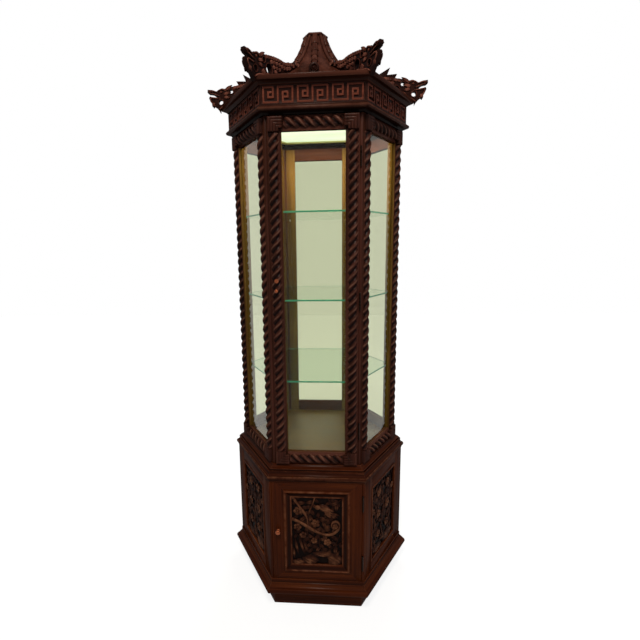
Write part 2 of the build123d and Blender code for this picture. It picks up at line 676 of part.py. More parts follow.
def lock_cam():
    """The cam on the back of the plug, hanging down while the door is free."""
    back = UPPER_INNER - CAM_GAP
    y0, y1 = -back, -back + CAM_THICKNESS
    tail = CAM_LENGTH - CAM_WIDTH / 2
    cam = box(LOCK_X - CAM_WIDTH / 2, LOCK_X + CAM_WIDTH / 2, y0, y1, LOCK_HEIGHT - tail, LOCK_HEIGHT)
    for z in (LOCK_HEIGHT, LOCK_HEIGHT - tail):
        cam += outward(LOCK_X, z, CAM_WIDTH / 2, -y1, -y0)
    return cam


def knob(x, z, ground, radius, length, depth):
    """A turned pull knob on a face, with its spindle run back into the wood."""
    neck = 0.45 * radius
    foot = 0.62 * radius
    spindle = KNOB_SPINDLE_RADIUS
    profile = outline((0, ground - depth), (spindle, ground - depth), (spindle, ground),
                      (foot, ground), (foot, ground + 1.5), (neck, ground + 3),
                      ((neck, ground + 0.45 * length), 0.6), ((radius, ground + 0.7 * length), -1.0),
                      ((0.4 * radius, ground + length), -0.1 * length), (0, ground + length))
    body = revolve(profile, axis=Axis.Y, revolution_arc=360)
    return Pos(x, 0, z) * (Rot(0, 0, HALF_TURN) * body)


def catch_body():
    """The magnet block of the cupboard's catch, under the waist moulding's ledge."""
    y0 = -(BASE_INNER - CATCH_PLATE_THICKNESS - CATCH_GAP)
    return box(CATCH_X - CATCH_WIDTH / 2, CATCH_X + CATCH_WIDTH / 2, y0, y0 + CATCH_DEPTH,
               CUPBOARD_TOP - CATCH_HEIGHT, CUPBOARD_TOP)


def catch_plate():
    """The striking plate on the back of the cupboard door."""
    return box(CATCH_X - CATCH_WIDTH / 2, CATCH_X + CATCH_WIDTH / 2, -BASE_INNER,
               -BASE_INNER + CATCH_PLATE_THICKNESS, CUPBOARD_TOP - CATCH_HEIGHT - 2,
               CUPBOARD_TOP - DOOR_END_GAP - 1)


# ---------------------------------------------------------------- crown
def frieze_moulding():
    """The beaded moulding at the head of the case."""
    z0, z1 = CASE_TOP, FRIEZE_FOOT
    bead = FRIEZE_FACE + 11.0
    return mitred_sides(outline(
        (UPPER_INNER, z0), (UPPER_FACE + 5, z0), ((bead - 9, z0 + 9), 2.5), (bead - 4, z0 + 10),
        ((bead - 4, z0 + 23), -4), (FRIEZE_FACE + 1.5, z0 + 25), (FRIEZE_FACE + 1.5, z1),
        (UPPER_INNER, z1)))


def frieze_pocket():
    """The sunk ground of the fret on the front side."""
    half = FRIEZE_FACE * TAN - FRET_END_BORDER
    return box(-half, half, -FRIEZE_FACE - 1, -FRIEZE_FACE + FRET_RELIEF,
               FRIEZE_FOOT + FRET_BORDER, FRIEZE_TOP - FRET_BORDER)


def frieze_boards():
    """Six boards with a sunk ground; the back one is bored for the cable gland."""
    inner = FRIEZE_INNER
    boards = mitred_sides(outline((inner, FRIEZE_FOOT), (FRIEZE_FACE, FRIEZE_FOOT),
                                  (FRIEZE_FACE, FRIEZE_TOP), (inner, FRIEZE_TOP)), frieze_pocket())
    hole = turn(outward(0, gland_height(), GLAND_RADIUS, inner - 1, FRIEZE_FACE + 1), "back")
    return [board - hole for board in boards]


def gland_height():
    """The gland sits half-way up the frieze."""
    return (FRIEZE_FOOT + FRIEZE_TOP) / 2


def key_fret():
    """Raised square scrolls, in linked pairs, on each side; the gland takes a pair's place."""
    columns, rows = 6, 3
    width = columns * FRET_COLUMN
    height = rows * FRET_ROW
    left = [(1.6, 2), (1, 2), (1, 1), (2, 1), (2, 3), (0, 3), (0, 0), (3, 0)]
    right = [(columns - column, rows - row) for column, row in reversed(left)]
    points = [(c * FRET_COLUMN - width / 2, r * FRET_ROW - height / 2) for c, r in left + right]
    pair = Sketch()
    for (xa, za), (xb, zb) in zip(points, points[1:]):
        size = (abs(xb - xa) + FRET_LINE, abs(zb - za) + FRET_LINE)
        pair += Pos((xa + xb) / 2, (za + zb) / 2) * Rectangle(*size)
    ground = Plane(origin=(0, -FRIEZE_FACE + FRET_RELIEF, gland_height()), x_dir=(1, 0, 0),
                   z_dir=(0, -1, 0))
    raised = extrude(ground * pair, amount=FRET_RELIEF, dir=(0, -1, 0))
    pitch = width + FRET_GAP
    frets = []
    for face in FACES:
        for number in range(FRET_PAIRS):
            offset = (number - (FRET_PAIRS - 1) / 2) * pitch
            if face == "back" and abs(offset) < width / 2:
                continue
            frets.append(turn(Pos(offset, 0, 0) * raised, face))
    return frets


def cable_gland():
    """The bush in the back of the frieze, where the lamp's lead would leave."""
    inner = FRIEZE_INNER
    ground = FRIEZE_FACE - FRET_RELIEF
    gland = outward(0, gland_height(), GLAND_RADIUS - FIT / 2, inner, ground)
    gland += outward(0, gland_height(), GLAND_FLANGE_RADIUS, ground, ground + GLAND_FLANGE_THICKNESS)
    gland -= outward(0, gland_height(), GLAND_HOLE_RADIUS, inner - 1, FRIEZE_FACE + 20)
    return turn(gland, "back")


def cornice():
    """The overhanging eaves moulding."""
    z0, z1 = FRIEZE_TOP, ROOF_FOOT
    inner = FRIEZE_INNER
    edge = CORNICE_FACE
    return mitred_sides(outline(
        (inner, z0), (FRIEZE_FACE + 3, z0), ((edge - 6, z0 + 10), 2.5), (edge - 2, z0 + 10),
        ((edge, z0 + 20), -0.8), (edge, z1), (inner, z1)))


def ceiling_ring():
    """The wooden border of the lit ceiling, on the frieze moulding, rebated for the diffuser."""
    seat = DIFFUSER_FACE + FIT
    edge = seat - DIFFUSER_SEAT
    ledge = FRIEZE_FOOT
    foot, head = ledge - CEILING_DROP, ledge + SHEET_THICKNESS
    return mitred_sides(outline(
        (edge, foot), (UPPER_INNER - FIT, foot), (UPPER_INNER - FIT, ledge),
        (FRIEZE_INNER - FIT, ledge), (FRIEZE_INNER - FIT, head), (seat, head), (seat, ledge),
        (edge, ledge)))


def lamp_diffuser():
    """The opal sheet in the ceiling."""
    return hexagon(DIFFUSER_FACE, FRIEZE_FOOT, FRIEZE_FOOT + DIFFUSER_THICKNESS)


def lamp_housing():
    """The batten that carries the lamp, lying across the ceiling ring."""
    z0 = FRIEZE_FOOT + SHEET_THICKNESS
    half = LAMP_WIDTH / 2
    batten = box(-LAMP_LENGTH / 2, LAMP_LENGTH / 2, -half, half, z0, z0 + LAMP_HEIGHT)
    return batten & hexagon(UPPER_INNER - 2 * FIT, z0, z0 + LAMP_HEIGHT)


def roof_curve(offset=0.0):
    """The concave roof line in the corner plane: three edges from the eave to the top."""
    eave = (ROOF_EAVE_RADIUS - offset, ROOF_FOOT)
    skirt = (ROOF_SKIRT_RADIUS - offset, ROOF_FOOT + ROOF_SKIRT_HEIGHT - offset / 2)
    knee = (ROOF_KNEE_RADIUS - offset, ROOF_FOOT + ROOF_KNEE_HEIGHT - offset / 2)
    waist = (ROOF_WAIST_RADIUS - offset, ROOF_FOOT + ROOF_WAIST_HEIGHT - offset / 2)
    top = (ROOF_TOP_RADIUS - offset, ROOF_TOP)
    return eave, skirt, knee, waist, top


def face_point(point):
    """A corner-plane point moved to the middle of a side."""
    return point[0] * COS, point[1]


def roof_slopes():
    """Six curved roof boards, mitred along the hips."""
    outer = [face_point(point) for point in roof_curve()]
    inner = [face_point(point) for point in roof_curve(ROOF_BOARD_THICKNESS)]
    edges = [ThreePointArc(*outer[:3]), ThreePointArc(*outer[2:]), Line(outer[4], inner[4]),
             ThreePointArc(*inner[:1:-1]), ThreePointArc(*inner[2::-1]), Line(inner[0], outer[0])]
    return mitred_sides(make_face(Curve() + edges))


def above_roof(height, low_radius, high_radius):
    """A (radius, height) outline of a strip that lies along the hip, sunk to be scribed."""
    eave, skirt, knee, waist, top = roof_curve(-height)
    sunk = roof_curve(ROOF_BOARD_THICKNESS / 2)
    edges = [ThreePointArc(eave, skirt, knee), ThreePointArc(knee, waist, (top[0], ROOF_TOP)),
             Line((top[0], ROOF_TOP), sunk[4]), ThreePointArc(*sunk[:1:-1]),
             ThreePointArc(*sunk[2::-1]), Line(sunk[0], eave)]
    strip = make_face(Curve() + edges)
    middle, width = (low_radius + high_radius) / 2, high_radius - low_radius
    return strip & (Pos(middle, ROOF_FOOT) * Rectangle(width, 2 * FAR))


def roof_solid():
    """The space under the outer roof surface, for scribing what stands on it."""
    outer = [face_point(point) for point in roof_curve()]
    edges = [ThreePointArc(*outer[:3]), ThreePointArc(*outer[2:]), Line(outer[4], (0, ROOF_TOP)),
             Line((0, ROOF_TOP), (0, ROOF_FOOT)), Line((0, ROOF_FOOT), outer[0])]
    return mitred_sides(make_face(Curve() + edges))


def hip_ridges(roof):
    """The raised rib on each hip, from the cap down to the dragon's tail."""
    rib = above_roof(RIDGE_HEIGHT, 0, DRAGON_TAIL_RADIUS - FIT)
    ridges = []
    for corner in CORNERS:
        ridge = radial_plank(rib, RIDGE_WIDTH, corner)
        for part in roof:
            ridge = ridge - part
        ridges.append(ridge)
    return ridges


def roof_height(radius):
    """Height of the hip line at a radius, from its two arcs."""
    eave, skirt, knee, waist, top = roof_curve()
    lower, upper = ThreePointArc(eave, skirt, knee), ThreePointArc(knee, waist, top)
    arc = lower if radius > ROOF_KNEE_RADIUS else upper
    low, high = 0.0, 1.0
    for _ in range(40):
        middle = (low + high) / 2
        if (arc @ middle).X > radius:
            low = middle
        else:
            high = middle
    return (arc @ low).Y


def tile_ribs(roof_sixth):
    """The rib of lapped half-round tiles down each side, with a boss at its foot."""
    section = Plane(origin=(0, 0, 0), x_dir=(0, -1, 0), z_dir=(-1, 0, 0))
    rib = None
    heights = [ROOF_TOP - sum(TILE_FALLS[:count]) for count in range(len(TILE_FALLS) + 1)]
    radii = [radius_at(height, ROOF_TOP_RADIUS, BOSS_RADIUS) for height in heights]
    for number in range(len(TILE_FALLS)):
        high, low = heights[number], heights[number + 1]
        near, far = radii[number] * COS, radii[number + 1] * COS
        reach = TILE_HEIGHT - TILE_STEP
        profile = outline((near - 12, high), (near + reach, high), (far + TILE_HEIGHT, low),
                          (far - 12, low))
        tile = extrude(section * profile, amount=TILE_WIDTH / 2, both=True)
        rib = tile if rib is None else rib + tile
    foot = roof_height(BOSS_RADIUS)
    arch = BOSS_WIDTH / 2
    spring = foot + BOSS_HEIGHT - arch
    face = Plane(origin=(0, -BOSS_RADIUS * COS, 0), x_dir=(1, 0, 0), z_dir=(0, -1, 0))
    shape = outline((-arch, foot - arch), (arch, foot - arch), (arch, spring),
                    ((-arch, spring), -arch * 0.999))
    boss = extrude(face * shape, amount=BOSS_DEPTH, dir=(0, 1, 0))
    rib = (rib + boss) - roof_sixth
    return [turn(rib, name) for name in FACES]


def radius_at(height, near, far):
    """Corner radius of the hip line at a height, by halving."""
    for _ in range(40):
        middle = (near + far) / 2
        if roof_height(middle) > height:
            near = middle
        else:
            far = middle
    return near


def spire_cap():
    """The hexagonal plate on the top of the roof."""
    plate = hexagon(CAP_RADIUS * COS, ROOF_TOP, ROOF_TOP + CAP_HEIGHT)
    return chamfer(plate.edges().filter_by(Plane.XY), CAP_CHAMFER)


# ---------------------------------------------------------------- dragons
# Back of a dragon from tail to brow, as (distance out from the roof's eave corner, height above
# the cornice)
PLAIN_BACK = [(-179, 92), (-158, 84), (-137, 81), (-111, 83), (-80, 81), (-41, 75), (-24, 69)]
SPIKED_BACK = [(-179, 92), (-158, 86), (-136, 90), (-85, 118), (-96, 92), (-58, 94), (-68, 76),
               (-52, 71), (-36, 75), (-24, 68)]
# Tail from its root in the roof to the dip behind it, as (distance out from the tail's start,
# height above the roof there)
TAIL_SCROLL = [(0, -20), (0, 2), (9, 5), (21, -3), (34, -16), (50, -19)]
# Head from brow round the open jaws to the throat
HEAD = [(-10, 69), (13, 67), (24, 60), (40, 66), (59, 68), (60, 57), (52, 51), (39, 51), (28, 43),
        (16, 39), (33, 37), (51, 43), (55, 36), (49, 22), (41, 12), (26, 0), (16, -11)]
DRAGON_HOLES = [(-64, 35, 8.0), (-36, 57, 6.0), (7, 19, 7.0)]


def dragon(corner, back, roof):
    """One hip dragon: a plank with an open-jawed head, scribed to the roof and the eaves."""
    tail = roof_height(DRAGON_TAIL_RADIUS)
    scroll = [(DRAGON_TAIL_RADIUS + out, tail + height) for out, height in TAIL_SCROLL]
    upper = [(ROOF_EAVE_RADIUS + out, ROOF_FOOT + height) for out, height in back + HEAD]
    corner_radius = CORNICE_RADIUS + FIT
    throat = [(corner_radius, ROOF_FOOT - 21), (corner_radius, ROOF_FOOT),
              (ROOF_EAVE_RADIUS - 20, ROOF_FOOT), (ROOF_SKIRT_RADIUS - 10, ROOF_FOOT + 10)]
    plank = radial_plank(Polygon(*(scroll + upper + throat), align=None), DRAGON_THICKNESS, corner)
    for out, height, size in DRAGON_HOLES:
        drill = Rot(90, 0, 0) * Cylinder(size, 3 * DRAGON_THICKNESS)
        hole = Pos(ROOF_EAVE_RADIUS + out, 0, ROOF_FOOT + height) * drill
        plank = plank - Rot(0, 0, CORNERS[corner]) * hole
    for part in roof:
        plank = plank - part
    return plank


# ---------------------------------------------------------------- all nodes
def main():
    """Builds each node and writes its file."""
    os.makedirs("parts", exist_ok=True)

    save("plinth", *plinth())
    save("base_moulding", *base_moulding())
    save("cupboard_floor", cupboard_floor())
    save("cupboard_corner_posts", *corner_posts(BASE_RADIUS, CUPBOARD_FOOT, CUPBOARD_TOP))
    save("cupboard_side_frames", *cupboard_side_frames())
    side_panel = carved_panel(PANEL_OPENING_WIDTH, *panel_levels())
    for face in FIXED_FACES:
        save("carved_panel_" + face, turn(side_panel, face))
    save("panel_beads", *panel_beads())
    save("waist_moulding", *waist_moulding())
    save("case_floor", case_floor())

    save("cupboard_door_frame", *cupboard_door_frame())
    save("cupboard_door_panel", carved_panel(DOOR_PANEL_OPENING_WIDTH, *door_panel_levels()))
    save("cupboard_door_moulding", *cupboard_door_moulding())
    save("cupboard_door_knob", knob(CUPBOARD_KNOB_X, CUPBOARD_KNOB_HEIGHT, BASE_FACE,
                                    CUPBOARD_KNOB_RADIUS, CUPBOARD_KNOB_LENGTH, BOARD_THICKNESS - 2))
    save("catch_magnet", catch_body())
    save("catch_plate", catch_plate())

    save("case_corner_posts", *corner_posts(UPPER_RADIUS, CASE_FOOT, CASE_TOP))
    save("case_side_frames", *case_side_frames())
    ropes = rope_mouldings()
    save("side_rope_mouldings", *[turn(bar, face) for face in FIXED_FACES for bar in ropes])
    for face in FIXED_FACES:
        save("glass_pane_" + face, turn(glass_pane(), face))
    for name, height in zip(("lower", "middle", "upper"), SHELF_HEIGHTS):
        save("glass_shelf_" + name, glass_shelf(height))
    save("shelf_pins", *shelf_pins())

    save("case_door_frame", *case_door_frame())
    save("door_rope_moulding", *[bar - door_bores() for bar in ropes])
    save("door_glass", glass_pane())
    save("case_door_knob", knob(CASE_KNOB_X, CASE_KNOB_HEIGHT, UPPER_FACE + ROPE_HEIGHT,
                                CASE_KNOB_RADIUS, CASE_KNOB_LENGTH, ROPE_HEIGHT + BOARD_THICKNESS - 2))
    save("lock_barrel", lock_barrel())
    save("lock_plug", lock_plug())
    save("lock_cam", lock_cam())

    upper_hinges = [hinge(UPPER_FACE, height) for height in CASE_HINGES]
    lower_hinges = [hinge(BASE_FACE, height) for height in CUPBOARD_HINGES]
    post_leaves = [leaves[0] for leaves in upper_hinges + lower_hinges]
    save("hinge_post_leaves", *post_leaves)
    save("case_door_hinge_leaves", *[leaves[1] for leaves in upper_hinges])
    save("cupboard_door_hinge_leaves", *[leaves[1] for leaves in lower_hinges])
    save("hinge_pins", *[leaves[2] for leaves in upper_hinges + lower_hinges])

    save("frieze_moulding", *frieze_moulding())
    save("frieze_boards", *frieze_boards())
    save("key_fret", *key_fret())
    save("cable_gland", cable_gland())
    save("cornice", *cornice())
    save("ceiling_ring", *ceiling_ring())
    save("lamp_diffuser", lamp_diffuser())
    save("lamp_housing", lamp_housing())
    save("roof_slopes", *roof_slopes())
    roof = roof_solid()
    save("hip_ridges", *hip_ridges(roof))
    save("tile_ribs", *tile_ribs(roof[0]))
    save("spire_cap", spire_cap())
    for corner in CORNERS:
        back = SPIKED_BACK if corner in ("left", "right") else PLAIN_BACK
        save("dragon_" + corner, dragon(corner, back, roof))

    print("hinge axes", [(round(x, 3), round(y, 3)) for x, y in map(hinge_axis, (UPPER_FACE, BASE_FACE))])


main()
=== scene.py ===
"""Finishes and carving for a hexagonal glazed display cabinet with a pagoda roof.

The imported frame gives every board, pane, hinge and lock at its real size. This script softens the
woodwork's edges, carves the rope mouldings, the bird-and-blossom panels, the roof's tiles and
bosses and the dragons, and gives every piece its finish. Lengths are in metres, +Z is up and the
door faces -Y.
"""

from __future__ import annotations

import logging
import math
from contextlib import contextmanager
from dataclasses import dataclass, field, replace
from enum import Enum
from typing import Any, Callable, Iterator, Sequence

import bpy
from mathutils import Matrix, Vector


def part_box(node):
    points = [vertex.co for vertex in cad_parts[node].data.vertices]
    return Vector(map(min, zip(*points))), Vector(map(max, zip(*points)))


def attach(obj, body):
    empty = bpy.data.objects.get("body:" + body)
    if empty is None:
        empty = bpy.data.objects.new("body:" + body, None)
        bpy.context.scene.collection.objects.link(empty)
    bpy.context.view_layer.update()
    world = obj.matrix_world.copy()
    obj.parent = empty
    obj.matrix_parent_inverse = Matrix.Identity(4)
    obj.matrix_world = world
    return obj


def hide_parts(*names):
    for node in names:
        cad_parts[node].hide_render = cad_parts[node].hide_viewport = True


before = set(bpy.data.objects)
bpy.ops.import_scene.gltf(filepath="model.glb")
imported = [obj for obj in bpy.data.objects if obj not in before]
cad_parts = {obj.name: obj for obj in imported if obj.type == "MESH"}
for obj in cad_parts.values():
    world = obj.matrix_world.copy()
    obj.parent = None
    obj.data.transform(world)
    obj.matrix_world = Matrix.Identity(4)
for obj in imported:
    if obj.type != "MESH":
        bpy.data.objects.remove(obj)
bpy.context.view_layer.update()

log = logging.getLogger("cabinet")

Object = bpy.types.Object
Colour = tuple[float, float, float, float]
Point = tuple[float, float, float]
Spot = tuple[float, float]

MM = 0.001
SIXTH = math.radians(60.0)
WELD = 0.002 * MM
FLAT = math.radians(0.6)
CREST = 0.12
NARROW = 0.75


class Sixth(Enum):
    """One of six directions of the plan, a sixth of a turn apart."""

    @property
    def turn(self) -> float:
        """The angle about +Z from the first direction to this one."""
        return self.value * SIXTH

    @property
    def label(self) -> str:
        """The direction's name as the frame's nodes spell it."""
        return self.name.lower()


class Side(Sixth):
    """The six sides of the plan, counted from the front towards the right hand."""

    FRONT = 0
    RIGHT_FRONT = 1
    RIGHT_BACK = 2
    BACK = 3
    LEFT_BACK = 4
    LEFT_FRONT = 5


class Corner(Sixth):
    """The six corners of the plan, by their angle from +X in sixths of a turn."""

    RIGHT = 0
    BACK_RIGHT = 1
    BACK_LEFT = 2
    LEFT = 3
    FRONT_LEFT = 4
    FRONT_RIGHT = 5


class Grain(Enum):
    """The way that the fibres of a board run."""

    UPRIGHT = "upright"
    LEVEL = "level"


# ------------------------------------------------------------------------------ modelling tools
def pick(*pieces: Object) -> None:
    """Select these pieces alone and make the first of them active."""
    bpy.ops.object.select_all(action="DESELECT")
    for piece in pieces:
        piece.select_set(True)
    bpy.context.view_layer.objects.active = pieces[0]


@contextmanager
def editing(piece: Object, element: str = "FACE", everything: bool = True) -> Iterator[None]:
    """Hold a piece in edit mode.

    Args:
        piece: The piece to edit.
        element: The kind of element that is selected, VERT, EDGE or FACE.
        everything: Whether all of the mesh is selected first.
    """
    pick(piece)
    bpy.context.tool_settings.mesh_select_mode = tuple(
        element == kind for kind in ("VERT", "EDGE", "FACE"))
    bpy.ops.object.mode_set(mode="EDIT")
    if everything:
        bpy.ops.mesh.select_all(action="SELECT")
    yield
    bpy.ops.object.mode_set(mode="OBJECT")


def mark_faces(piece: Object, test: Callable[[Vector, Vector], bool]) -> None:
    """Select the faces whose centre and normal pass a test, for the next edit.

    Args:
        piece: The piece whose faces are selected.
        test: Says of a centre and a normal whether that face is wanted.
    """
    mesh = piece.data
    for vertex in mesh.vertices:
        vertex.select = False
    for edge in mesh.edges:
        edge.select = False
    for polygon in mesh.polygons:
        polygon.select = test(polygon.center, polygon.normal)


def modify(piece: Object, kind: str, **settings: Any) -> None:
    """Add a modifier, set it up and apply it.

    Args:
        piece: The piece that is modified.
        kind: Blender's name for the modifier.
        **settings: The modifier's properties.
    """
    modifier = piece.modifiers.new(kind.title(), kind)
    for key, value in settings.items():
        setattr(modifier, key, value)
    pick(piece)
    bpy.ops.object.modifier_apply(modifier=modifier.name)


def stand(piece: Object, place: Point = (0, 0, 0), turn: Point = (0, 0, 0),
          size: Point = (1, 1, 1)) -> Object:
    """Scale, turn and place a piece, and settle all of that into its mesh.

    Args:
        piece: A piece at the origin.
        place: Where its origin goes.
        turn: Euler angles about X, Y and Z.
        size: Scale along X, Y and Z.

    Returns:
        The same piece.
    """
    piece.rotation_mode = "XYZ"
    piece.location = place
    piece.rotation_euler = turn
    piece.scale = size
    pick(piece)
    bpy.ops.object.transform_apply(location=True, rotation=True, scale=True)
    if size[0] * size[1] * size[2] < 0:
        with editing(piece):
            bpy.ops.mesh.normals_make_consistent(inside=False)
    return piece


def copy_of(piece: Object, name: str) -> Object:
    """A copy of a piece with a mesh of its own.

    Args:
        piece: The piece to copy.
        name: The copy's name.

    Returns:
        The copy.
    """
    pick(piece)
    bpy.ops.object.duplicate(linked=False)
    twin = bpy.context.object
    twin.name = name
    return twin


def joined(pieces: Sequence[Object], name: str) -> Object:
    """Join pieces into one.

    Args:
        pieces: The pieces, of which the first takes the others in.
        name: The name of the whole.

    Returns:
        The joined piece.
    """
    pick(*pieces)
    if len(pieces) > 1:
        bpy.ops.object.join()
    pieces[0].name = name
    return pieces[0]


def scrap(*pieces: Object) -> None:
    """Delete pieces that were only patterns for copies."""
    for piece in pieces:
        bpy.data.objects.remove(piece)


def smooth(piece: Object, degrees: float = 35.0) -> None:
    """Shade a piece smooth, apart from its edges sharper than an angle."""
    pick(piece)
    bpy.ops.object.shade_smooth_by_angle(angle=math.radians(degrees))


def weld(piece: Object, flatten: bool = True) -> None:
    """Merge the loose faces of a node's copy.

    Args:
        piece: The copy.
        flatten: Whether the lines across its flat faces are cleared too.
    """
    with editing(piece):
        bpy.ops.mesh.customdata_custom_splitnormals_clear()
        bpy.ops.mesh.remove_doubles(threshold=WELD)
        if flatten:
            bpy.ops.mesh.dissolve_limited(angle_limit=FLAT)


def coat(piece: Object, material: bpy.types.Material) -> None:
    """Give a piece one material in place of those that it has."""
    piece.data.materials.clear()
    piece.data.materials.append(material)


def sculpt(piece: Object, move: Callable[[Vector], Vector]) -> None:
    """Move every vertex of a piece to the place that a function gives for its old one."""
    for vertex in piece.data.vertices:
        vertex.co = move(vertex.co.copy())


def trim(piece: Object, through: Point, away: Point) -> None:
    """Cut off what lies beyond a plane, where its normal points, and close the cut."""
    with editing(piece):
        bpy.ops.mesh.bisect(plane_co=through, plane_no=away, clear_outer=True, use_fill=True)


def note_painted_shade_and_crests(piece: Object, measure: Callable[[Vector], float]) -> None:
    """Record each vertex's depth in a hollow, for painted shade, and the crests, for rubbed wear
    and a painted highlight.

    Args:
        piece: The carved piece.
        measure: Gives 0 or less on the crests and 1 in the deepest hollows.
    """
    depths = [measure(vertex.co) for vertex in piece.data.vertices]
    hollows = piece.data.attributes.new("hollow", "FLOAT", "POINT")
    hollows.data.foreach_set("value", [min(1.0, max(0.0, depth)) for depth in depths])
    crests = piece.data.attributes.new("crest", "FLOAT", "POINT")
    crests.data.foreach_set("value", [min(1.0, max(0.0, 1.0 - depth / CREST)) for depth in depths])


def note_arrises(piece: Object, width: float) -> None:
    """Record the narrow faces along a softened piece's edges, for rubbed wear and a painted
    highlight.

    Args:
        piece: The piece, after its edges were bevelled.
        width: The bevel's width.
    """
    mesh = piece.data
    arrises = mesh.attributes.new("arris", "FLOAT", "FACE")
    for polygon, note in zip(mesh.polygons, arrises.data):
        spots = [mesh.vertices[index].co for index in polygon.vertices]
        longest = max((end - start).length for start, end in zip(spots, spots[1:] + spots[:1]))
        note.value = 1.0 if polygon.area < longest * width * NARROW else 0.0


def folds(piece: Object) -> list[float]:
    """Measure how sharply a piece folds inwards at each vertex.

    Args:
        piece: The piece.

    Returns:
        One value for each vertex, from 0 on flats and arrises to 1.
    """
    mesh = piece.data
    inward = [0.0] * len(mesh.vertices)
    for edge in mesh.edges:
        first, second = (mesh.vertices[index] for index in edge.vertices)
        run = (second.co - first.co).normalized()
        bend = (first.normal - second.normal).dot(run)
        for vertex in (first, second):
            inward[vertex.index] = max(inward[vertex.index], bend)
    return inward


def plate(name: str, outline: Sequence[Spot], near: float, far: float) -> Object:
    """A solid plate with an outline drawn in the plane of X and Z.

    Args:
        name: The piece's name.
        outline: Its corners as (x, z), in order.
        near: The y of its first face.
        far: The y of its second face.

    Returns:
        The plate.
    """
    bpy.ops.mesh.primitive_circle_add(vertices=len(outline), radius=1.0, fill_type="NGON")
    piece = bpy.context.object
    piece.name = name
    for vertex, (x, z) in zip(piece.data.vertices, outline):
        vertex.co = (x, near, z)
    with editing(piece):
        bpy.ops.mesh.extrude_region_move(TRANSFORM_OT_translate={"value": (0, far - near, 0)})
        bpy.ops.mesh.select_all(action="SELECT")
        bpy.ops.mesh.normals_make_consistent(inside=False)
    return piece


def tube(name: str, points: Sequence[Point], radii: Sequence[float], sides: int = 2,
         flatten: float = 1.0) -> Object:
    """A smooth round stem along a curve.

    Args:
        name: The piece's name.
        points: The curve's control points.
        radii: The stem's radius at each point.
        sides: Blender's resolution of the round section.
        flatten: Scale of the stem's depth along Y.

    Returns:
        The stem as a mesh.
    """
    curve = bpy.data.curves.new(name, "CURVE")
    curve.dimensions = "3D"
    curve.resolution_u = 5
    curve.bevel_depth = 1.0
    curve.bevel_resolution = sides
    curve.use_fill_caps = True
    spline = curve.splines.new("NURBS")
    spline.points.add(len(points) - 1)
    for spot, place, radius in zip(spline.points, points, radii):
        spot.co = (*place, 1.0)
        spot.radius = radius
    spline.order_u = 3
    spline.use_endpoint_u = True
    stem = bpy.data.objects.new(name, curve)
    bpy.context.scene.collection.objects.link(stem)
    pick(stem)
    bpy.ops.object.convert(target="MESH")
    stem = bpy.context.object
    if flatten != 1.0:
        ground = points[0][1]
        sculpt(stem, lambda co: Vector((co.x, ground + (co.y - ground) * flatten, co.z)))
    return stem


# ------------------------------------------------------------------------------ finishes
def tint(code: str) -> Colour:
    """Turn a display colour into a linear one.

    Args:
        code: The display colour's six hexadecimal digits.

    Returns:
        The linear colour, opaque.
    """
    levels = [int(code[place:place + 2], 16) / 255.0 for place in (0, 2, 4)]
    linear = [v / 12.92 if v <= 0.04045 else ((v + 0.055) / 1.055) ** 2.4 for v in levels]
    return (*linear, 1.0)


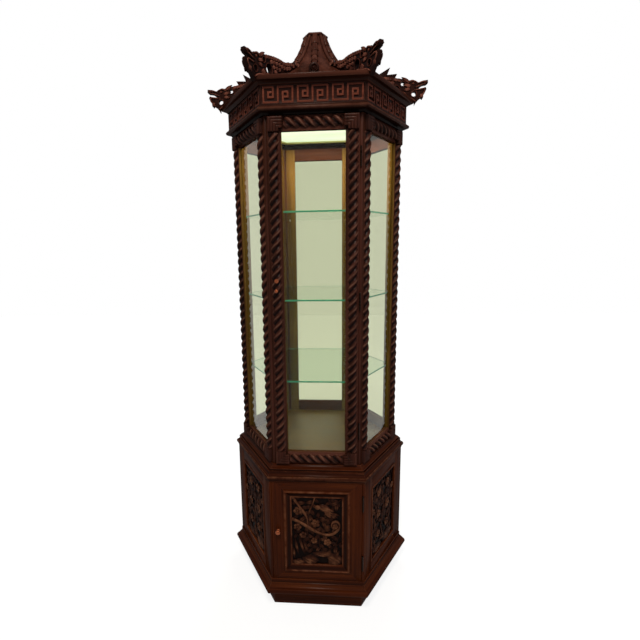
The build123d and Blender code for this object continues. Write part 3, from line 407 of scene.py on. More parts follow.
class Bench:
    """A new material or sky and the few moves that lay out its nodes."""

    def __init__(self, name: str, sky: bool = False) -> None:
        """Start an empty material or an empty sky.

        Args:
            name: Its name.
            sky: Whether it is a sky.
        """
        self.sky = sky
        self.holder = (bpy.data.worlds if sky else bpy.data.materials).new(name)
        self.holder.use_nodes = True
        self.tree = self.holder.node_tree
        self.tree.nodes.clear()

    def add(self, kind: str, inputs: dict[Any, Any] | None = None, **settings: Any) -> Any:
        """Add a node.

        Args:
            kind: The node's type, without the words ShaderNode.
            inputs: Values or sockets for its inputs, by name or number.
            **settings: The node's own properties.

        Returns:
            The node.
        """
        node = self.tree.nodes.new("ShaderNode" + kind)
        for key, value in settings.items():
            setattr(node, key, value)
        for key, value in (inputs or {}).items():
            if isinstance(value, bpy.types.NodeSocket):
                self.tree.links.new(value, node.inputs[key])
            else:
                node.inputs[key].default_value = value
        return node

    def place(self) -> Any:
        """The object's own coordinates."""
        return self.add("TexCoord").outputs["Object"]

    def stretch(self, where: Any, scale: Point, turn: float = 0.0) -> Any:
        """Coordinates turned about +Z by an angle and then scaled."""
        turned = self.add("Mapping", {"Vector": where, "Rotation": (0.0, 0.0, -turn)})
        return self.add("Mapping", {"Vector": turned.outputs[0], "Scale": scale}).outputs[0]

    def noise(self, where: Any, scale: float, detail: float = 3.0, distortion: float = 0.0) -> Any:
        """A noise value with a number of octaves and a warp."""
        return self.add("TexNoise", {"Vector": where, "Scale": scale, "Detail": detail,
                                     "Distortion": distortion}).outputs["Fac"]

    def ramp(self, value: Any, *stops: tuple[float, Colour]) -> Any:
        """A colour ramp.

        Args:
            value: The socket that is looked up.
            *stops: Each stop's place and colour.

        Returns:
            The socket with the colour.
        """
        node = self.add("ValToRGB", {0: value})
        elements = node.color_ramp.elements
        while len(elements) < len(stops):
            elements.new(1.0)
        for element, (place, colour) in zip(elements, stops):
            element.position = place
            element.color = colour
        return node.outputs["Color"]

    def between(self, value: Any, low: float, high: float, start: float = 0.0,
                end: float = 1.0) -> Any:
        """A value spread from low and high over a new range, and held inside it."""
        return self.add("MapRange", {"Value": value, "From Min": low, "From Max": high,
                                     "To Min": start, "To Max": end}).outputs["Result"]

    def blend(self, share: Any, first: Any, second: Any, way: str = "MIX") -> Any:
        """Two colours blended, with a number or a socket for the second one's share."""
        node = self.add("Mix", {"Factor": share, 6: first, 7: second}, data_type="RGBA",
                        blend_type=way)
        return node.outputs[2]

    def reckon(self, operation: str, first: Any, second: Any = 0.0) -> Any:
        """The result of one of Blender's sums on one or two values."""
        return self.add("Math", {0: first, 1: second}, operation=operation).outputs[0]

    def weighed(self, first: Any, second: Any, part: float) -> Any:
        """Two values added up, with a part of the first and the rest of the second."""
        return self.reckon("ADD", self.reckon("MULTIPLY", first, part),
                           self.reckon("MULTIPLY", second, 1.0 - part))

    def seen(self) -> Any:
        """1 for what the camera sees, also by way of glass and gloss, and 0 for what lights."""
        path = self.add("LightPath").outputs
        straight = self.reckon("MAXIMUM", path["Is Camera Ray"], path["Is Glossy Ray"])
        return self.reckon("MAXIMUM", straight, path["Is Transmission Ray"])

    def bump(self, height: Any, depth: float, strength: float = 1.0) -> Any:
        """A normal bumped by a height from 0 to 1 over a real depth."""
        return self.add("Bump", {"Height": height, "Distance": depth,
                                 "Strength": strength}).outputs["Normal"]

    def finish(self, shader: Any) -> Any:
        """Wire a shader to the output and hand over the material or the sky."""
        self.add("OutputWorld" if self.sky else "OutputMaterial", {"Surface": shader})
        return self.holder


@dataclass(frozen=True)
class Lacquered:
    """Stained and lacquered hardwood, with one material for each way that its fibres run."""

    name: str
    vein: str
    body: str
    flare: str
    # Lighter colour of rubbed edges and crests, which also stands for a painted highlight.
    worn: str
    # Colour of the pores, and of the painted shade in hollows and grooves.
    hollow: str
    gloss: float = 0.50
    mirror: float = 0.0
    lacquer: float = 0.06
    polish: float = 0.24
    # Share of that lighter colour on edges and crests, as wear and painted highlight.
    wear: float = 0.45

    def material(self, grain: Grain, side: Side = Side.FRONT) -> bpy.types.Material:
        """The finish for a board.

        Args:
            grain: The way that its fibres run.
            side: The side of the plan that a level board lies on.

        Returns:
            The material, made when it is first asked for.
        """
        way = side.value % 3
        label = f"{self.name}_{grain.value}" + (f"_{way}" if grain is Grain.LEVEL else "")
        return bpy.data.materials.get(label) or self._mixed(label, grain, way)

    def _mixed(self, label: str, grain: Grain, way: int) -> bpy.types.Material:
        """Lay out the nodes of one material.

        Args:
            label: Its name.
            grain: The way that the fibres run.
            way: Sixths of a turn to a level board's length.

        Returns:
            The material.
        """
        bench = Bench(label)
        where = bench.place()
        upright = grain is Grain.UPRIGHT
        turn = 0.0 if upright else way * SIXTH

        def along(slow: float, fast: float) -> Any:
            """Coordinates that change slowly along the fibres and fast across them."""
            scale = (fast, fast, slow) if upright else (slow, fast, fast)
            return bench.stretch(where, scale, turn)

        fibre = bench.noise(along(2.2, 120.0), 1.0, detail=4.0, distortion=0.25)
        figure = bench.noise(along(0.9, 13.0), 1.0, detail=2.0, distortion=0.9)
        pores = bench.between(bench.noise(along(40.0, 900.0), 1.0, detail=2.0), 0.60, 0.72)
        cloud = bench.noise(where, 5.5, detail=2.0)
        mixed = bench.weighed(fibre, figure, 0.45)
        colour = bench.ramp(mixed, (0.34, tint(self.vein)), (0.50, tint(self.body)),
                            (0.68, tint(self.flare)))
        colour = bench.blend(bench.between(cloud, 0.35, 0.75, 0.0, 0.25), colour, tint(self.vein))
        colour = bench.blend(bench.reckon("MULTIPLY", pores, 0.55), colour, tint(self.hollow))
        arrises, crests, deep = (bench.add("Attribute", attribute_name=note).outputs["Fac"]
                                 for note in ("arris", "crest", "hollow"))
        # Rubbed wear and painted highlight: edges and crests take the lighter colour in patches.
        edges = bench.reckon("MAXIMUM", arrises, crests)
        scuffs = bench.between(bench.noise(where, 45.0, detail=2.0), 0.30, 0.65)
        worn = bench.reckon("MULTIPLY", bench.reckon("MULTIPLY", edges, scuffs), self.wear)
        colour = bench.blend(worn, colour, tint(self.worn))
        # Painted shade: the deeper a point lies in a hollow, the nearer it comes to the hollow
        # colour.
        colour = bench.blend(bench.between(deep, 0.12, 0.95, 0.0, 0.92), colour, tint(self.hollow))
        sheen = bench.reckon("ADD", bench.between(fibre, 0.3, 0.7, -0.05, 0.07),
                             bench.between(deep, 0.2, 1.0, self.gloss, self.gloss + 0.25))
        height = bench.reckon("SUBTRACT", bench.reckon("MULTIPLY", fibre, 0.4), pores)
        surface = bench.add("BsdfPrincipled", {
            "Base Color": colour, "Roughness": sheen, "Specular IOR Level": self.mirror,
            "Coat Weight": self.lacquer, "Coat Roughness": self.polish,
            "Normal": bench.bump(height, 0.25 * MM, 0.35)})
        return bench.finish(surface.outputs[0])


@dataclass(frozen=True)
class Plywood:
    """Varnished sheet wood with its grain from left to right."""

    name: str
    dark: str
    body: str
    light: str

    def material(self) -> bpy.types.Material:
        """The sheet's material."""
        bench = Bench(self.name)
        where = bench.place()
        lines = bench.noise(bench.stretch(where, (4.0, 60.0, 60.0)), 1.0, detail=5.0,
                            distortion=0.8)
        flames = bench.noise(bench.stretch(where, (2.2, 11.0, 11.0)), 1.0, detail=2.0,
                             distortion=2.2)
        mixed = bench.weighed(lines, flames, 0.5)
        colour = bench.ramp(mixed, (0.36, tint(self.dark)), (0.52, tint(self.body)),
                            (0.66, tint(self.light)))
        surface = bench.add("BsdfPrincipled", {
            "Base Color": colour, "Roughness": bench.between(lines, 0.3, 0.7, 0.36, 0.52),
            "Coat Weight": 0.2, "Coat Roughness": 0.2,
            "Normal": bench.bump(lines, 0.15 * MM, 0.3)})
        return bench.finish(surface.outputs[0])


@dataclass(frozen=True)
class Glass:
    """Clear sheet glass whose cut edges are tinted more deeply than its faces."""

    name: str
    face: str
    edge: str
    edge_clearness: float
    smudge: float = 0.05

    def material(self) -> bpy.types.Material:
        """The sheet's material."""
        bench = Bench(self.name)
        where = bench.place()
        wipe = bench.noise(bench.stretch(where, (9.0, 9.0, 3.0)), 1.0, detail=4.0, distortion=0.6)
        haze = bench.between(wipe, 0.5, 0.8, 0.0, self.smudge)
        clear = bench.add("BsdfPrincipled", {
            "Base Color": tint(self.face), "Roughness": haze, "IOR": 1.2,
            "Transmission Weight": 1.0})
        cut = bench.add("BsdfPrincipled", {
            "Base Color": tint(self.edge), "Roughness": 0.12, "IOR": 1.3,
            "Transmission Weight": self.edge_clearness})
        sides = bench.add("Attribute", attribute_name="cut_edge").outputs["Fac"]
        sheet = bench.add("MixShader", {0: sides, 1: clear.outputs[0], 2: cut.outputs[0]})
        shadow = bench.add("LightPath").outputs["Is Shadow Ray"]
        through = bench.add("BsdfTransparent", {"Color": tint("e8f4ee")})
        passing = bench.add("MixShader", {0: shadow, 1: sheet.outputs[0], 2: through.outputs[0]})
        return bench.finish(passing.outputs[0])


@dataclass(frozen=True)
class Metal:
    """A handled metal with faint smudges and fine brushing."""

    name: str
    colour: str
    tarnish: str
    roughness: float = 0.28

    def material(self) -> bpy.types.Material:
        """The metal's material."""
        bench = Bench(self.name)
        where = bench.place()
        smudge = bench.noise(where, 120.0, detail=4.0)
        brush = bench.noise(bench.stretch(where, (300.0, 300.0, 2500.0)), 1.0, detail=2.0)
        colour = bench.blend(bench.between(smudge, 0.45, 0.75, 0.0, 0.7), tint(self.colour),
                             tint(self.tarnish))
        surface = bench.add("BsdfPrincipled", {
            "Base Color": colour, "Metallic": 1.0,
            "Roughness": bench.between(smudge, 0.3, 0.8, self.roughness, self.roughness + 0.22),
            "Normal": bench.bump(brush, 0.02 * MM, 0.2)})
        return bench.finish(surface.outputs[0])


@dataclass(frozen=True)
class Moulded:
    """Plastic or stoved enamel with a fine orange-peel surface."""

    name: str
    colour: str
    roughness: float = 0.45

    def material(self) -> bpy.types.Material:
        """The moulding's material."""
        bench = Bench(self.name)
        where = bench.place()
        peel = bench.noise(where, 900.0, detail=2.0)
        dust = bench.noise(where, 25.0, detail=3.0)
        colour = bench.blend(bench.between(dust, 0.5, 0.8, 0.0, 0.25), tint(self.colour),
                             tint("9a958c"))
        surface = bench.add("BsdfPrincipled", {
            "Base Color": colour, "Roughness": bench.between(dust, 0.3, 0.7, self.roughness,
                                                             self.roughness + 0.15),
            "Normal": bench.bump(peel, 0.03 * MM, 0.3)})
        return bench.finish(surface.outputs[0])


@dataclass(frozen=True)
class Opal:
    """The glowing diffuser sheet of the lit ceiling."""

    name: str = "opal_diffuser"
    glow: float = 1.15

    def material(self) -> bpy.types.Material:
        """The diffuser's material."""
        bench = Bench(self.name)
        where = bench.place()
        tubes = bench.noise(bench.stretch(where, (2.0, 9.0, 2.0)), 1.0, detail=2.0)
        colour = bench.ramp(tubes, (0.35, tint("e6f7e6")), (0.60, tint("fdfffa")))
        stipple = bench.noise(where, 700.0, detail=1.0)
        surface = bench.add("BsdfPrincipled", {
            "Base Color": colour, "Roughness": bench.between(stipple, 0.3, 0.7, 0.4, 0.6),
            "Emission Color": colour, "Emission Strength": self.glow})
        return bench.finish(surface.outputs[0])


CASE_WOOD = Lacquered("case_wood", vein="241109", body="40221a", flare="563227", worn="86604f",
                      hollow="070303")
CUPBOARD_WOOD = Lacquered("cupboard_wood", vein="290e05", body="411b0a", flare="572a11",
                          worn="80523a", hollow="0a0403", wear=0.38)
CARVED_WOOD = Lacquered("carved_wood", vein="1f0d07", body="381b10", flare="51301e", worn="754c34",
                        hollow="040202", wear=0.7)
DRAGON_WOOD = Lacquered("dragon_wood", vein="220d08", body="401f17", flare="5c3226", worn="875546",
                        hollow="040202", wear=0.55)
# Painted shade: a darker copy of the case wood for the cornice and the frieze moulding below it.
SHADED_WOOD = Lacquered("shaded_wood", vein="1f0e07", body="351a12", flare="4a281d", worn="6a4838",
                        hollow="060302", wear=0.22)
# The rope's crests take more of the lighter colour, as wear and as painted highlight.
ROPE_WOOD = replace(CASE_WOOD, name="rope_wood", wear=0.60)
FRET_WOOD = Lacquered("fret_wood", vein="3f1d16", body="5a2e22", flare="724031", worn="8a5848",
                      hollow="100605", wear=0.25)
# Painted lamplight: a lighter, golden copy of the case wood for the stiles' faces inside the case.
LAMPLIT_WOOD = Lacquered("lining_wood", vein="402a10", body="5e4420", flare="765a2e", worn="8f7446",
                        hollow="170c04", gloss=0.40)
FLOOR_SHEET = Plywood("floor_sheet", dark="3c2609", body="573610", light="6d4a1e")
# Painted lamplight: the ceiling ring's sheet is a light cream as it looks lit by the lamp.
LAMPLIT_CEILING_SHEET = Plywood("ceiling_sheet", dark="b3a558", body="cfc67c", light="e2dc9c")
WINDOW_GLASS = Glass("window_glass", face="dcdfcb", edge="9fc9b6", edge_clearness=0.8)
SHELF_GLASS = Glass("shelf_glass", face="e6f2ea", edge="3f9c80", edge_clearness=0.35)
BRONZE = Metal("antique_bronze", colour="1c100a", tarnish="0c0705", roughness=0.46)
COPPERY = Metal("coppery_brass", colour="86492f", tarnish="34190f", roughness=0.20)
STEEL = Metal("steel", colour="b9b7b2", tarnish="7b7973", roughness=0.30)
WHITE_METAL = Moulded("white_enamel", colour="e6e4dc", roughness=0.35)
BLACK_PLASTIC = Moulded("black_plastic", colour="161616")
OPAL = Opal()


# ------------------------------------------------------------------------------ boards of the frame
def side_of(spot: Vector) -> Side:
    """The side of the plan that a point lies on."""
    angle = math.atan2(spot.y, spot.x) + math.pi / 2
    return Side(round(angle / SIXTH) % 6)


def corner_of(spot: Vector) -> Corner:
    """The corner of the plan that a point lies nearest to."""
    return Corner(round(math.atan2(spot.y, spot.x) / SIXTH) % 6)


def across_side(spot: Vector) -> float:
    """How far a point lies to the right of the middle of its own side."""
    turn = side_of(spot).turn
    return spot.x * math.cos(turn) + spot.y * math.sin(turn)


@dataclass(frozen=True)
class Opening:
    """An upright opening about the middle line of a side."""

    half_width: float
    foot: float
    head: float

    def inset(self, margin: float) -> Opening:
        """The opening made smaller all round by a margin."""
        return Opening(self.half_width - margin, self.foot + margin, self.head - margin)

    def beyond(self, across: float, height: float) -> float:
        """How far outside the opening a place lies, which is negative inside it."""
        return max(abs(across) - self.half_width, self.foot - height, height - self.head)


DOOR_OPENING = Opening(112 * MM, 180 * MM, 498 * MM)
SIDE_OPENING = Opening(110 * MM, 178 * MM, 494 * MM)
DOOR_LIP = 14 * MM
FRAME_LAP = 8 * MM

BoardKey = tuple[Side, Grain]


@dataclass(frozen=True)
class Frame:
    """Stiles and rails round an opening, told apart by where a point lies."""

    opening: Opening
    mitred: bool

    def __call__(self, spot: Vector) -> BoardKey:
        """Tell which board a point belongs to.

        Args:
            spot: A point inside the wood.

        Returns:
            The board's side and grain.
        """
        beyond = abs(across_side(spot)) - self.opening.half_width
        rise = max(self.opening.foot - spot.z, spot.z - self.opening.head) if self.mitred else 0.0
        return side_of(spot), Grain.UPRIGHT if beyond > rise else Grain.LEVEL


def ring(spot: Vector) -> BoardKey:
    """The board of a mitred ring of six that a point belongs to."""
    return side_of(spot), Grain.LEVEL


def post(spot: Vector) -> BoardKey:
    """The upright piece on a corner that a point belongs to."""
    return Side(corner_of(spot).value), Grain.UPRIGHT


@dataclass
class Joinery:
    """Boards of the frame, copied with softened edges and their grain in the right direction."""

    node: str
    body: str
    wood: Lacquered
    slot: str
    boards: Callable[[Vector], BoardKey]
    softness: float = 1.0 * MM
    rounds: int = 2
    # Painted shade: each point's depth in a hollow, for the hollow colour.
    depth: Callable[[Vector], float] | None = None
    # Painted lamplight: the finish for the faces behind the glass.
    lining: Lacquered | None = None
    # Painted shade along the inward folds.
    shade_folds: bool = False

    INSIDE = 0.2 * MM
    SHARP = math.radians(28)
    FOLD_SHADE = 2.2

    def _key(self, polygon: Any) -> BoardKey:
        """The board that a face belongs to, from a point just under the face."""
        return self.boards(polygon.center - polygon.normal * self.INSIDE)

    def _line(self, piece: Object) -> None:
        """Paint lamplight on the stiles' faces behind the glass, with a lighter, golden copy of the
        wood.

        Args:
            piece: The piece with the stiles.
        """
        behind = -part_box("door_glass")[0].y + self.INSIDE
        names = [material.name for material in piece.data.materials]
        for polygon in piece.data.polygons:
            side, grain = self._key(polygon)
            out = polygon.center.x * math.sin(side.turn) - polygon.center.y * math.cos(side.turn)
            if grain is Grain.LEVEL or out > behind:
                continue
            lamplit = self.lining.material(grain, side)
            if lamplit.name not in names:
                piece.data.materials.append(lamplit)
                names.append(lamplit.name)
            polygon.material_index = names.index(lamplit.name)

    def build(self) -> Object:
        """Copy the node, weld each board by itself, soften its edges and dress it.

        Returns:
            The piece that stands for the node.
        """
        piece = copy_of(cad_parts[self.node], "soft_" + self.node)
        keys = [self._key(polygon) for polygon in piece.data.polygons]
        order = sorted(set(keys), key=lambda key: (key[0].value, key[1].value))
        piece.data.materials.clear()
        for side, grain in order:
            piece.data.materials.append(self.wood.material(grain, side))
        for polygon, key in zip(piece.data.polygons, keys):
            polygon.material_index = order.index(key)
        pick(piece)
        if len(order) > 1:
            bpy.ops.mesh.separate(type="MATERIAL")
        boards = list(bpy.context.selected_objects)
        for board in boards:
            weld(board)
        piece = joined(boards, "soft_" + self.node)
        modify(piece, "BEVEL", width=self.softness, segments=self.rounds, limit_method="ANGLE",
               angle_limit=self.SHARP, miter_outer="MITER_SHARP")
        smooth(piece)
        note_arrises(piece, self.softness)
        if self.lining is not None:
            self._line(piece)
        # Painted shade in the hollows and along the inward folds.
        if self.depth is not None:
            note_painted_shade_and_crests(piece, self.depth)
        if self.shade_folds:
            notes = piece.data.attributes.new("hollow", "FLOAT", "POINT")
            notes.data.foreach_set("value", [min(1.0, self.FOLD_SHADE * fold)
                                             for fold in folds(piece)])
        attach(piece, self.body)
        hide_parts(self.node)
        return piece


# ------------------------------------------------------------------------------ rope mouldings
@dataclass
class RopeMoulding:
    """The moulding round a pane: four twisted bars with reeded blocks at the mitres."""

    width: float = 38 * MM
    strands: int = 3
    lead: float = 97.5 * MM
    strand_reach: float = 9.0 * MM
    strand_radius: float = 10.9 * MM
    upright_block: float = 50 * MM
    level_block: float = 52 * MM
    reeds: int = 4
    gap: float = 2.5 * MM
    bedding: float = 0.4 * MM
    tip: float = 3.0 * MM

    STRAND_STEPS = 10
    RING_PITCH = 3.4 * MM
    STRAND_SHADES = (0.04, 1.34)
    REED_STEPS = 6
    REED_RISE = 0.45
    REED_TAPER = (0.94, 0.72, 1.0)
    REED_SHADE = 0.34
    GROOVE_SHADE = 0.56

    def __post_init__(self) -> None:
        """Take the moulding's place from the one on the door."""
        low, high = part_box("door_rope_moulding")
        self.half = high.x
        self.foot = low.z
        self.head = high.z
        self.face = -high.y
        self.proud = high.y - low.y
        self.reach = self.strand_reach + self.strand_radius

    def _section(self, angle: float) -> float:
        """Measure the rope's section.

        Args:
            angle: The angle round the rope.

        Returns:
            The radius at that angle.
        """
        share = 2 * math.pi / self.strands
        off = (angle + share / 2) % share - share / 2
        side = self.strand_reach * math.sin(off)
        return self.strand_reach * math.cos(off) + math.sqrt(self.strand_radius ** 2 - side ** 2)

    def _twist(self, length: float, phase: float) -> Object:
        """A twisted bar along +Z.

        Args:
            length: Its length.
            phase: The angle that its strands start at.

        Returns:
            The bar, standing on the origin.
        """
        count = self.strands * self.STRAND_STEPS
        bpy.ops.mesh.primitive_circle_add(vertices=count, radius=self.reach)
        bar = bpy.context.object

        def to_lobes(co: Vector) -> Vector:
            """Move a point of the circle in or out on to the strands' outline.

            Args:
                co: A point of it.

            Returns:
                Its new place.
            """
            angle = math.atan2(co.y, co.x)
            radius = self._section(angle)
            turned = angle + phase
            return Vector((radius * math.cos(turned), radius * math.sin(turned), 0.0))

        sculpt(bar, to_lobes)
        turns = length / self.lead
        modify(bar, "SCREW", angle=2 * math.pi * turns, screw_offset=length, axis="Z",
               steps=math.ceil(length / self.RING_PITCH), iterations=1, use_smooth_shade=True)
        with editing(bar):
            bpy.ops.mesh.fill_holes(sides=0)
            bpy.ops.mesh.normals_make_consistent(inside=False)
        # Painted shade between the strands, deepest at the floor of each groove; the crests take
        # the lighter colour of wear and painted highlight.
        floor = self.reach - self._section(math.pi / self.strands)
        crest_shade, floor_shade = self.STRAND_SHADES
        note_painted_shade_and_crests(bar, lambda co: crest_shade + (floor_shade - crest_shade)
                     * (self.reach - math.hypot(co.x, co.y)) / floor)
        return bar

    def _rope(self, start: float, end: float, middle: float, level: bool, phase: float) -> Object:
        """A twisted bar bedded in the frame.

        Args:
            start: Where it starts along its length.
            end: Where it ends.
            middle: Where its centre line lies across its length.
            level: Whether it runs along X instead of Z.
            phase: The angle that its strands start at.

        Returns:
            The bar, cut off a little behind the frame's face.
        """
        bar = self._twist(end - start, phase)
        sunk = -self.face - self.proud + self.reach
        if level:
            stand(bar, (start, sunk, middle), (0, math.pi / 2, 0))
        else:
            stand(bar, (middle, sunk, start))
        trim(bar, (0, -self.face + self.bedding, 0), (0, 1, 0))
        return bar

    def _block(self, length: float) -> Object:
        """A reeded block along +Z with rounded ends to its reeds.

        Args:
            length: Its length.

        Returns:
            The block, standing on the origin behind the plane of X and Z.
        """
        reed = self.width / self.reeds / 2
        crest = self.proud - reed * self.REED_RISE
        outline = [(self.width / 2, -self.bedding), (-self.width / 2, -self.bedding)]
        for number in range(self.reeds):
            centre = -self.width / 2 + reed * (2 * number + 1)
            for step in range(self.REED_STEPS + (number == self.reeds - 1)):
                angle = math.pi * (1 - step / self.REED_STEPS)
                outline.append((centre + reed * math.cos(angle),
                                crest + self.REED_RISE * reed * math.sin(angle)))
        block = plate("block", outline, 0.0, -length)
        stand(block, turn=(-math.pi / 2, 0, 0))
        stand(block, size=(1, -1, 1))
        mark_faces(block, lambda centre, normal: normal.z > 0.9)
        with editing(block, everything=False):
            bpy.ops.mesh.extrude_region_move(TRANSFORM_OT_translate={"value": (0, 0, self.tip)})
            bpy.ops.transform.resize(value=self.REED_TAPER,
                                     center_override=(0, 0, length + self.tip))
        # Painted shade: the grooves between the reeds dark, the reeds a little darker too.
        note_painted_shade_and_crests(block, lambda co: self.GROOVE_SHADE if -co.y < crest + reed * 0.15
                     else self.REED_SHADE)
        return block

    def _corner(self) -> Object:
        """Make the mitred pair of blocks at the foot of the left bar.

        Returns:
            The joined pair.
        """
        upright = self._block(self.upright_block - self.tip)
        stand(upright, (-self.half + self.width / 2, -self.face, self.foot))
        level = self._block(self.level_block - self.tip)
        stand(level, (-self.half, -self.face, self.foot + self.width / 2), (0, math.pi / 2, 0))
        through = (-self.half, -self.face, self.foot)
        trim(upright, through, (1, 0, -1))
        trim(level, through, (-1, 0, 1))
        return joined([upright, level], "corner")

    def build(self) -> Object:
        """Make the moulding on the front side.

        Returns:
            The joined moulding.
        """
        left = -self.half + self.width / 2
        low, high = self.foot + self.width / 2, self.head - self.width / 2
        end = self.upright_block + self.gap
        z0, z1 = self.foot + end, self.head - end
        reach = self.half - self.level_block - self.gap
        pieces = [
            self._rope(z0, z1, left, False, 0.2),
            self._rope(z0, z1, -left, False, 1.1),
            self._rope(-reach, reach, low, True, 0.5),
            self._rope(-reach, reach, high, True, 0.9),
        ]
        corner = self._corner()
        middle = (self.foot + self.head) / 2
        for flip_x in (1, -1):
            for flip_z in (1, -1):
                twin = copy_of(corner, "corner")
                stand(twin, size=(flip_x, 1, flip_z))
                stand(twin, (0, 0, 0 if flip_z == 1 else 2 * middle))
                pieces.append(twin)
        scrap(corner)
        whole = joined(pieces, "rope_moulding")
        coat(whole, ROPE_WOOD.material(Grain.UPRIGHT))
        smooth(whole, 50)
        return whole

    def dress(self) -> list[Object]:
        """Put the moulding on all six sides.

        Returns:
            The six mouldings.
        """
        pattern = self.build()
        pieces = []
        for side in Side:
            piece = stand(copy_of(pattern, "rope_moulding_" + side.label), turn=(0, 0, side.turn))
            front = side is Side.FRONT
            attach(piece, "case_door" if front else "case")
            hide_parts("door_rope_moulding" if front else "side_rope_mouldings")
            pieces.append(piece)
        scrap(pattern)
        return pieces


# ------------------------------------------------------------------------------ carving
Stem = tuple[float, tuple[Spot, ...]]


class Ornaments:
    """The ornaments of the carved work, each modelled once and copied to its places.

    An ornament is one unit long along +Z from the origin and one unit wide and deep about the
    plane of X and Z, so its copies are scaled to their length, width and depth.
    """

    def __init__(self) -> None:
        """Model the patterns."""
        self.patterns = {"leaf": self._leaf(0.30, 0.16), "feather": self._leaf(0.12, 0.08),
                         "bead": self._bead(), "blossom": self._blossom(), "rock": self._rock(),
                         "tooth": self._tooth(), "curl": self._curl()}

    @staticmethod
    def _leaf(fullness: float, rib: float) -> Object:
        """A pointed leaf with a groove for its midrib.

        Args:
            fullness: How near to its foot the leaf is widest.
            rib: Depth of the groove.

        Returns:
            The leaf.
        """
        bpy.ops.mesh.primitive_uv_sphere_add(segments=14, ring_count=10, radius=0.5)
        leaf = bpy.context.object

        def shape(co: Vector) -> Vector:
            """Draw the ball out into a leaf.

            Args:
                co: A point of it.

            Returns:
                Its new place.
            """
            along = co.z + 0.5
            round_width = math.sqrt(max(along * (1.0 - along), 1e-9))
            width = 0.0
            if 0 < along < 1:
                width = 0.5 * math.sin(math.pi * along ** (1.0 - fullness)) ** 0.8
            share = width / round_width
            groove = rib * math.exp(-(co.x / 0.10) ** 2) if co.y < 0 else 0.0
            curve = 0.22 * math.sin(math.pi * along) if co.y < 0 else 0.0
            return Vector((co.x * share, co.y * min(1.0, share) * (0.8 + curve) + groove, along))

        sculpt(leaf, shape)
        smooth(leaf, 60)
        return leaf

    @staticmethod
    def _bead() -> Object:
        """A round bead about the origin.

        Returns:
            The bead.
        """
        bpy.ops.mesh.primitive_uv_sphere_add(segments=12, ring_count=8, radius=0.5)
        bead = bpy.context.object
        sculpt(bead, lambda co: Vector((co.x, co.y, co.z * (1.0 - 0.08 * co.x))))
        smooth(bead, 60)
        return bead

    def _blossom(self) -> Object:
        """A five-petalled blossom about the origin.

        Returns:
            The blossom.
        """
        petal = self._leaf(-0.35, 0.10)
        parts = []
        for number in range(5):
            turn = number * 2 * math.pi / 5
            parts.append(stand(copy_of(petal, "petal"), (0, -0.10, 0), (0, turn, 0),
                               (0.42, 0.55, 0.52)))
        parts.append(stand(self._bead(), (0, -0.30, 0), (0, 0, 0), (0.24, 0.34, 0.24)))
        scrap(petal)
        return joined(parts, "blossom")

    @staticmethod
    def _rock() -> Object:
        """A lumpy boulder about the origin.

        Returns:
            The boulder.
        """
        bpy.ops.mesh.primitive_uv_sphere_add(segments=22, ring_count=14, radius=0.5)
        rock = bpy.context.object

        def shape(co: Vector) -> Vector:
            """Push the ball in and out in ridges.

            Args:
                co: A point of it.

            Returns:
                Its new place.
            """
            turn = math.atan2(co.z, co.x)
            lump = 1.0 + 0.10 * math.sin(5.0 * turn + 0.6) + 0.06 * math.sin(9.0 * turn + 2.0)
            ridge = 1.0 + 0.20 * math.sin(14.0 * co.x + 5.0 * math.sin(6.0 * co.z))
            return Vector((co.x * lump, co.y * ridge, co.z * lump))

        sculpt(rock, shape)
        smooth(rock, 50)
        return rock

    @staticmethod
    def _tooth() -> Object:
        """A curved fang from the origin.

        Returns:
            The fang.
        """
        bpy.ops.mesh.primitive_cone_add(vertices=10, radius1=0.5, radius2=0.04, depth=1.0,
                                        location=(0, 0, 0.5))
        tooth = bpy.context.object
        stand(tooth)
        with editing(tooth):
            bpy.ops.mesh.subdivide(number_cuts=2)
        sculpt(tooth, lambda co: Vector((co.x + 0.5 * co.z ** 2, co.y, co.z)))
        smooth(tooth, 60)
        return tooth

    @staticmethod
    def _curl() -> Object:
        """A spiral scroll about the origin, one unit across.

        Returns:
            The scroll.
        """
        points, radii = [], []
        steps = 22
        for number in range(steps + 1):
            share = number / steps
            angle = math.pi * 3.4 * share
            reach = 0.42 * (1.0 - 0.80 * share)
            points.append((reach * math.cos(angle), 0.0, reach * math.sin(angle)))
            radii.append(0.11 * (1.0 - 0.25 * share))
        curl = tube("curl", points, radii)
        smooth(curl, 60)
        return curl

    def put(self, kind: str, spot: Point, size: Point, turn: float = 0.0) -> Object:
        """Copy an ornament to a spot, with its width, depth and length and its lean towards +X."""
        return stand(copy_of(self.patterns[kind], kind), spot, (0, math.radians(turn), 0), size)

    def scrap(self) -> None:
        """Throw the patterns away."""
        scrap(*self.patterns.values())


@dataclass(frozen=True)
class Garden:
    """A composition for a panel: places are shares of its width and height from its lower left."""

    stems: tuple[Stem, ...]
    blossoms: tuple[tuple[float, float, float], ...]
    rocks: tuple[tuple[float, float, float, float], ...]
    long_leaves: tuple[tuple[float, float, float, float], ...] = ()
    bird: Spot | None = None


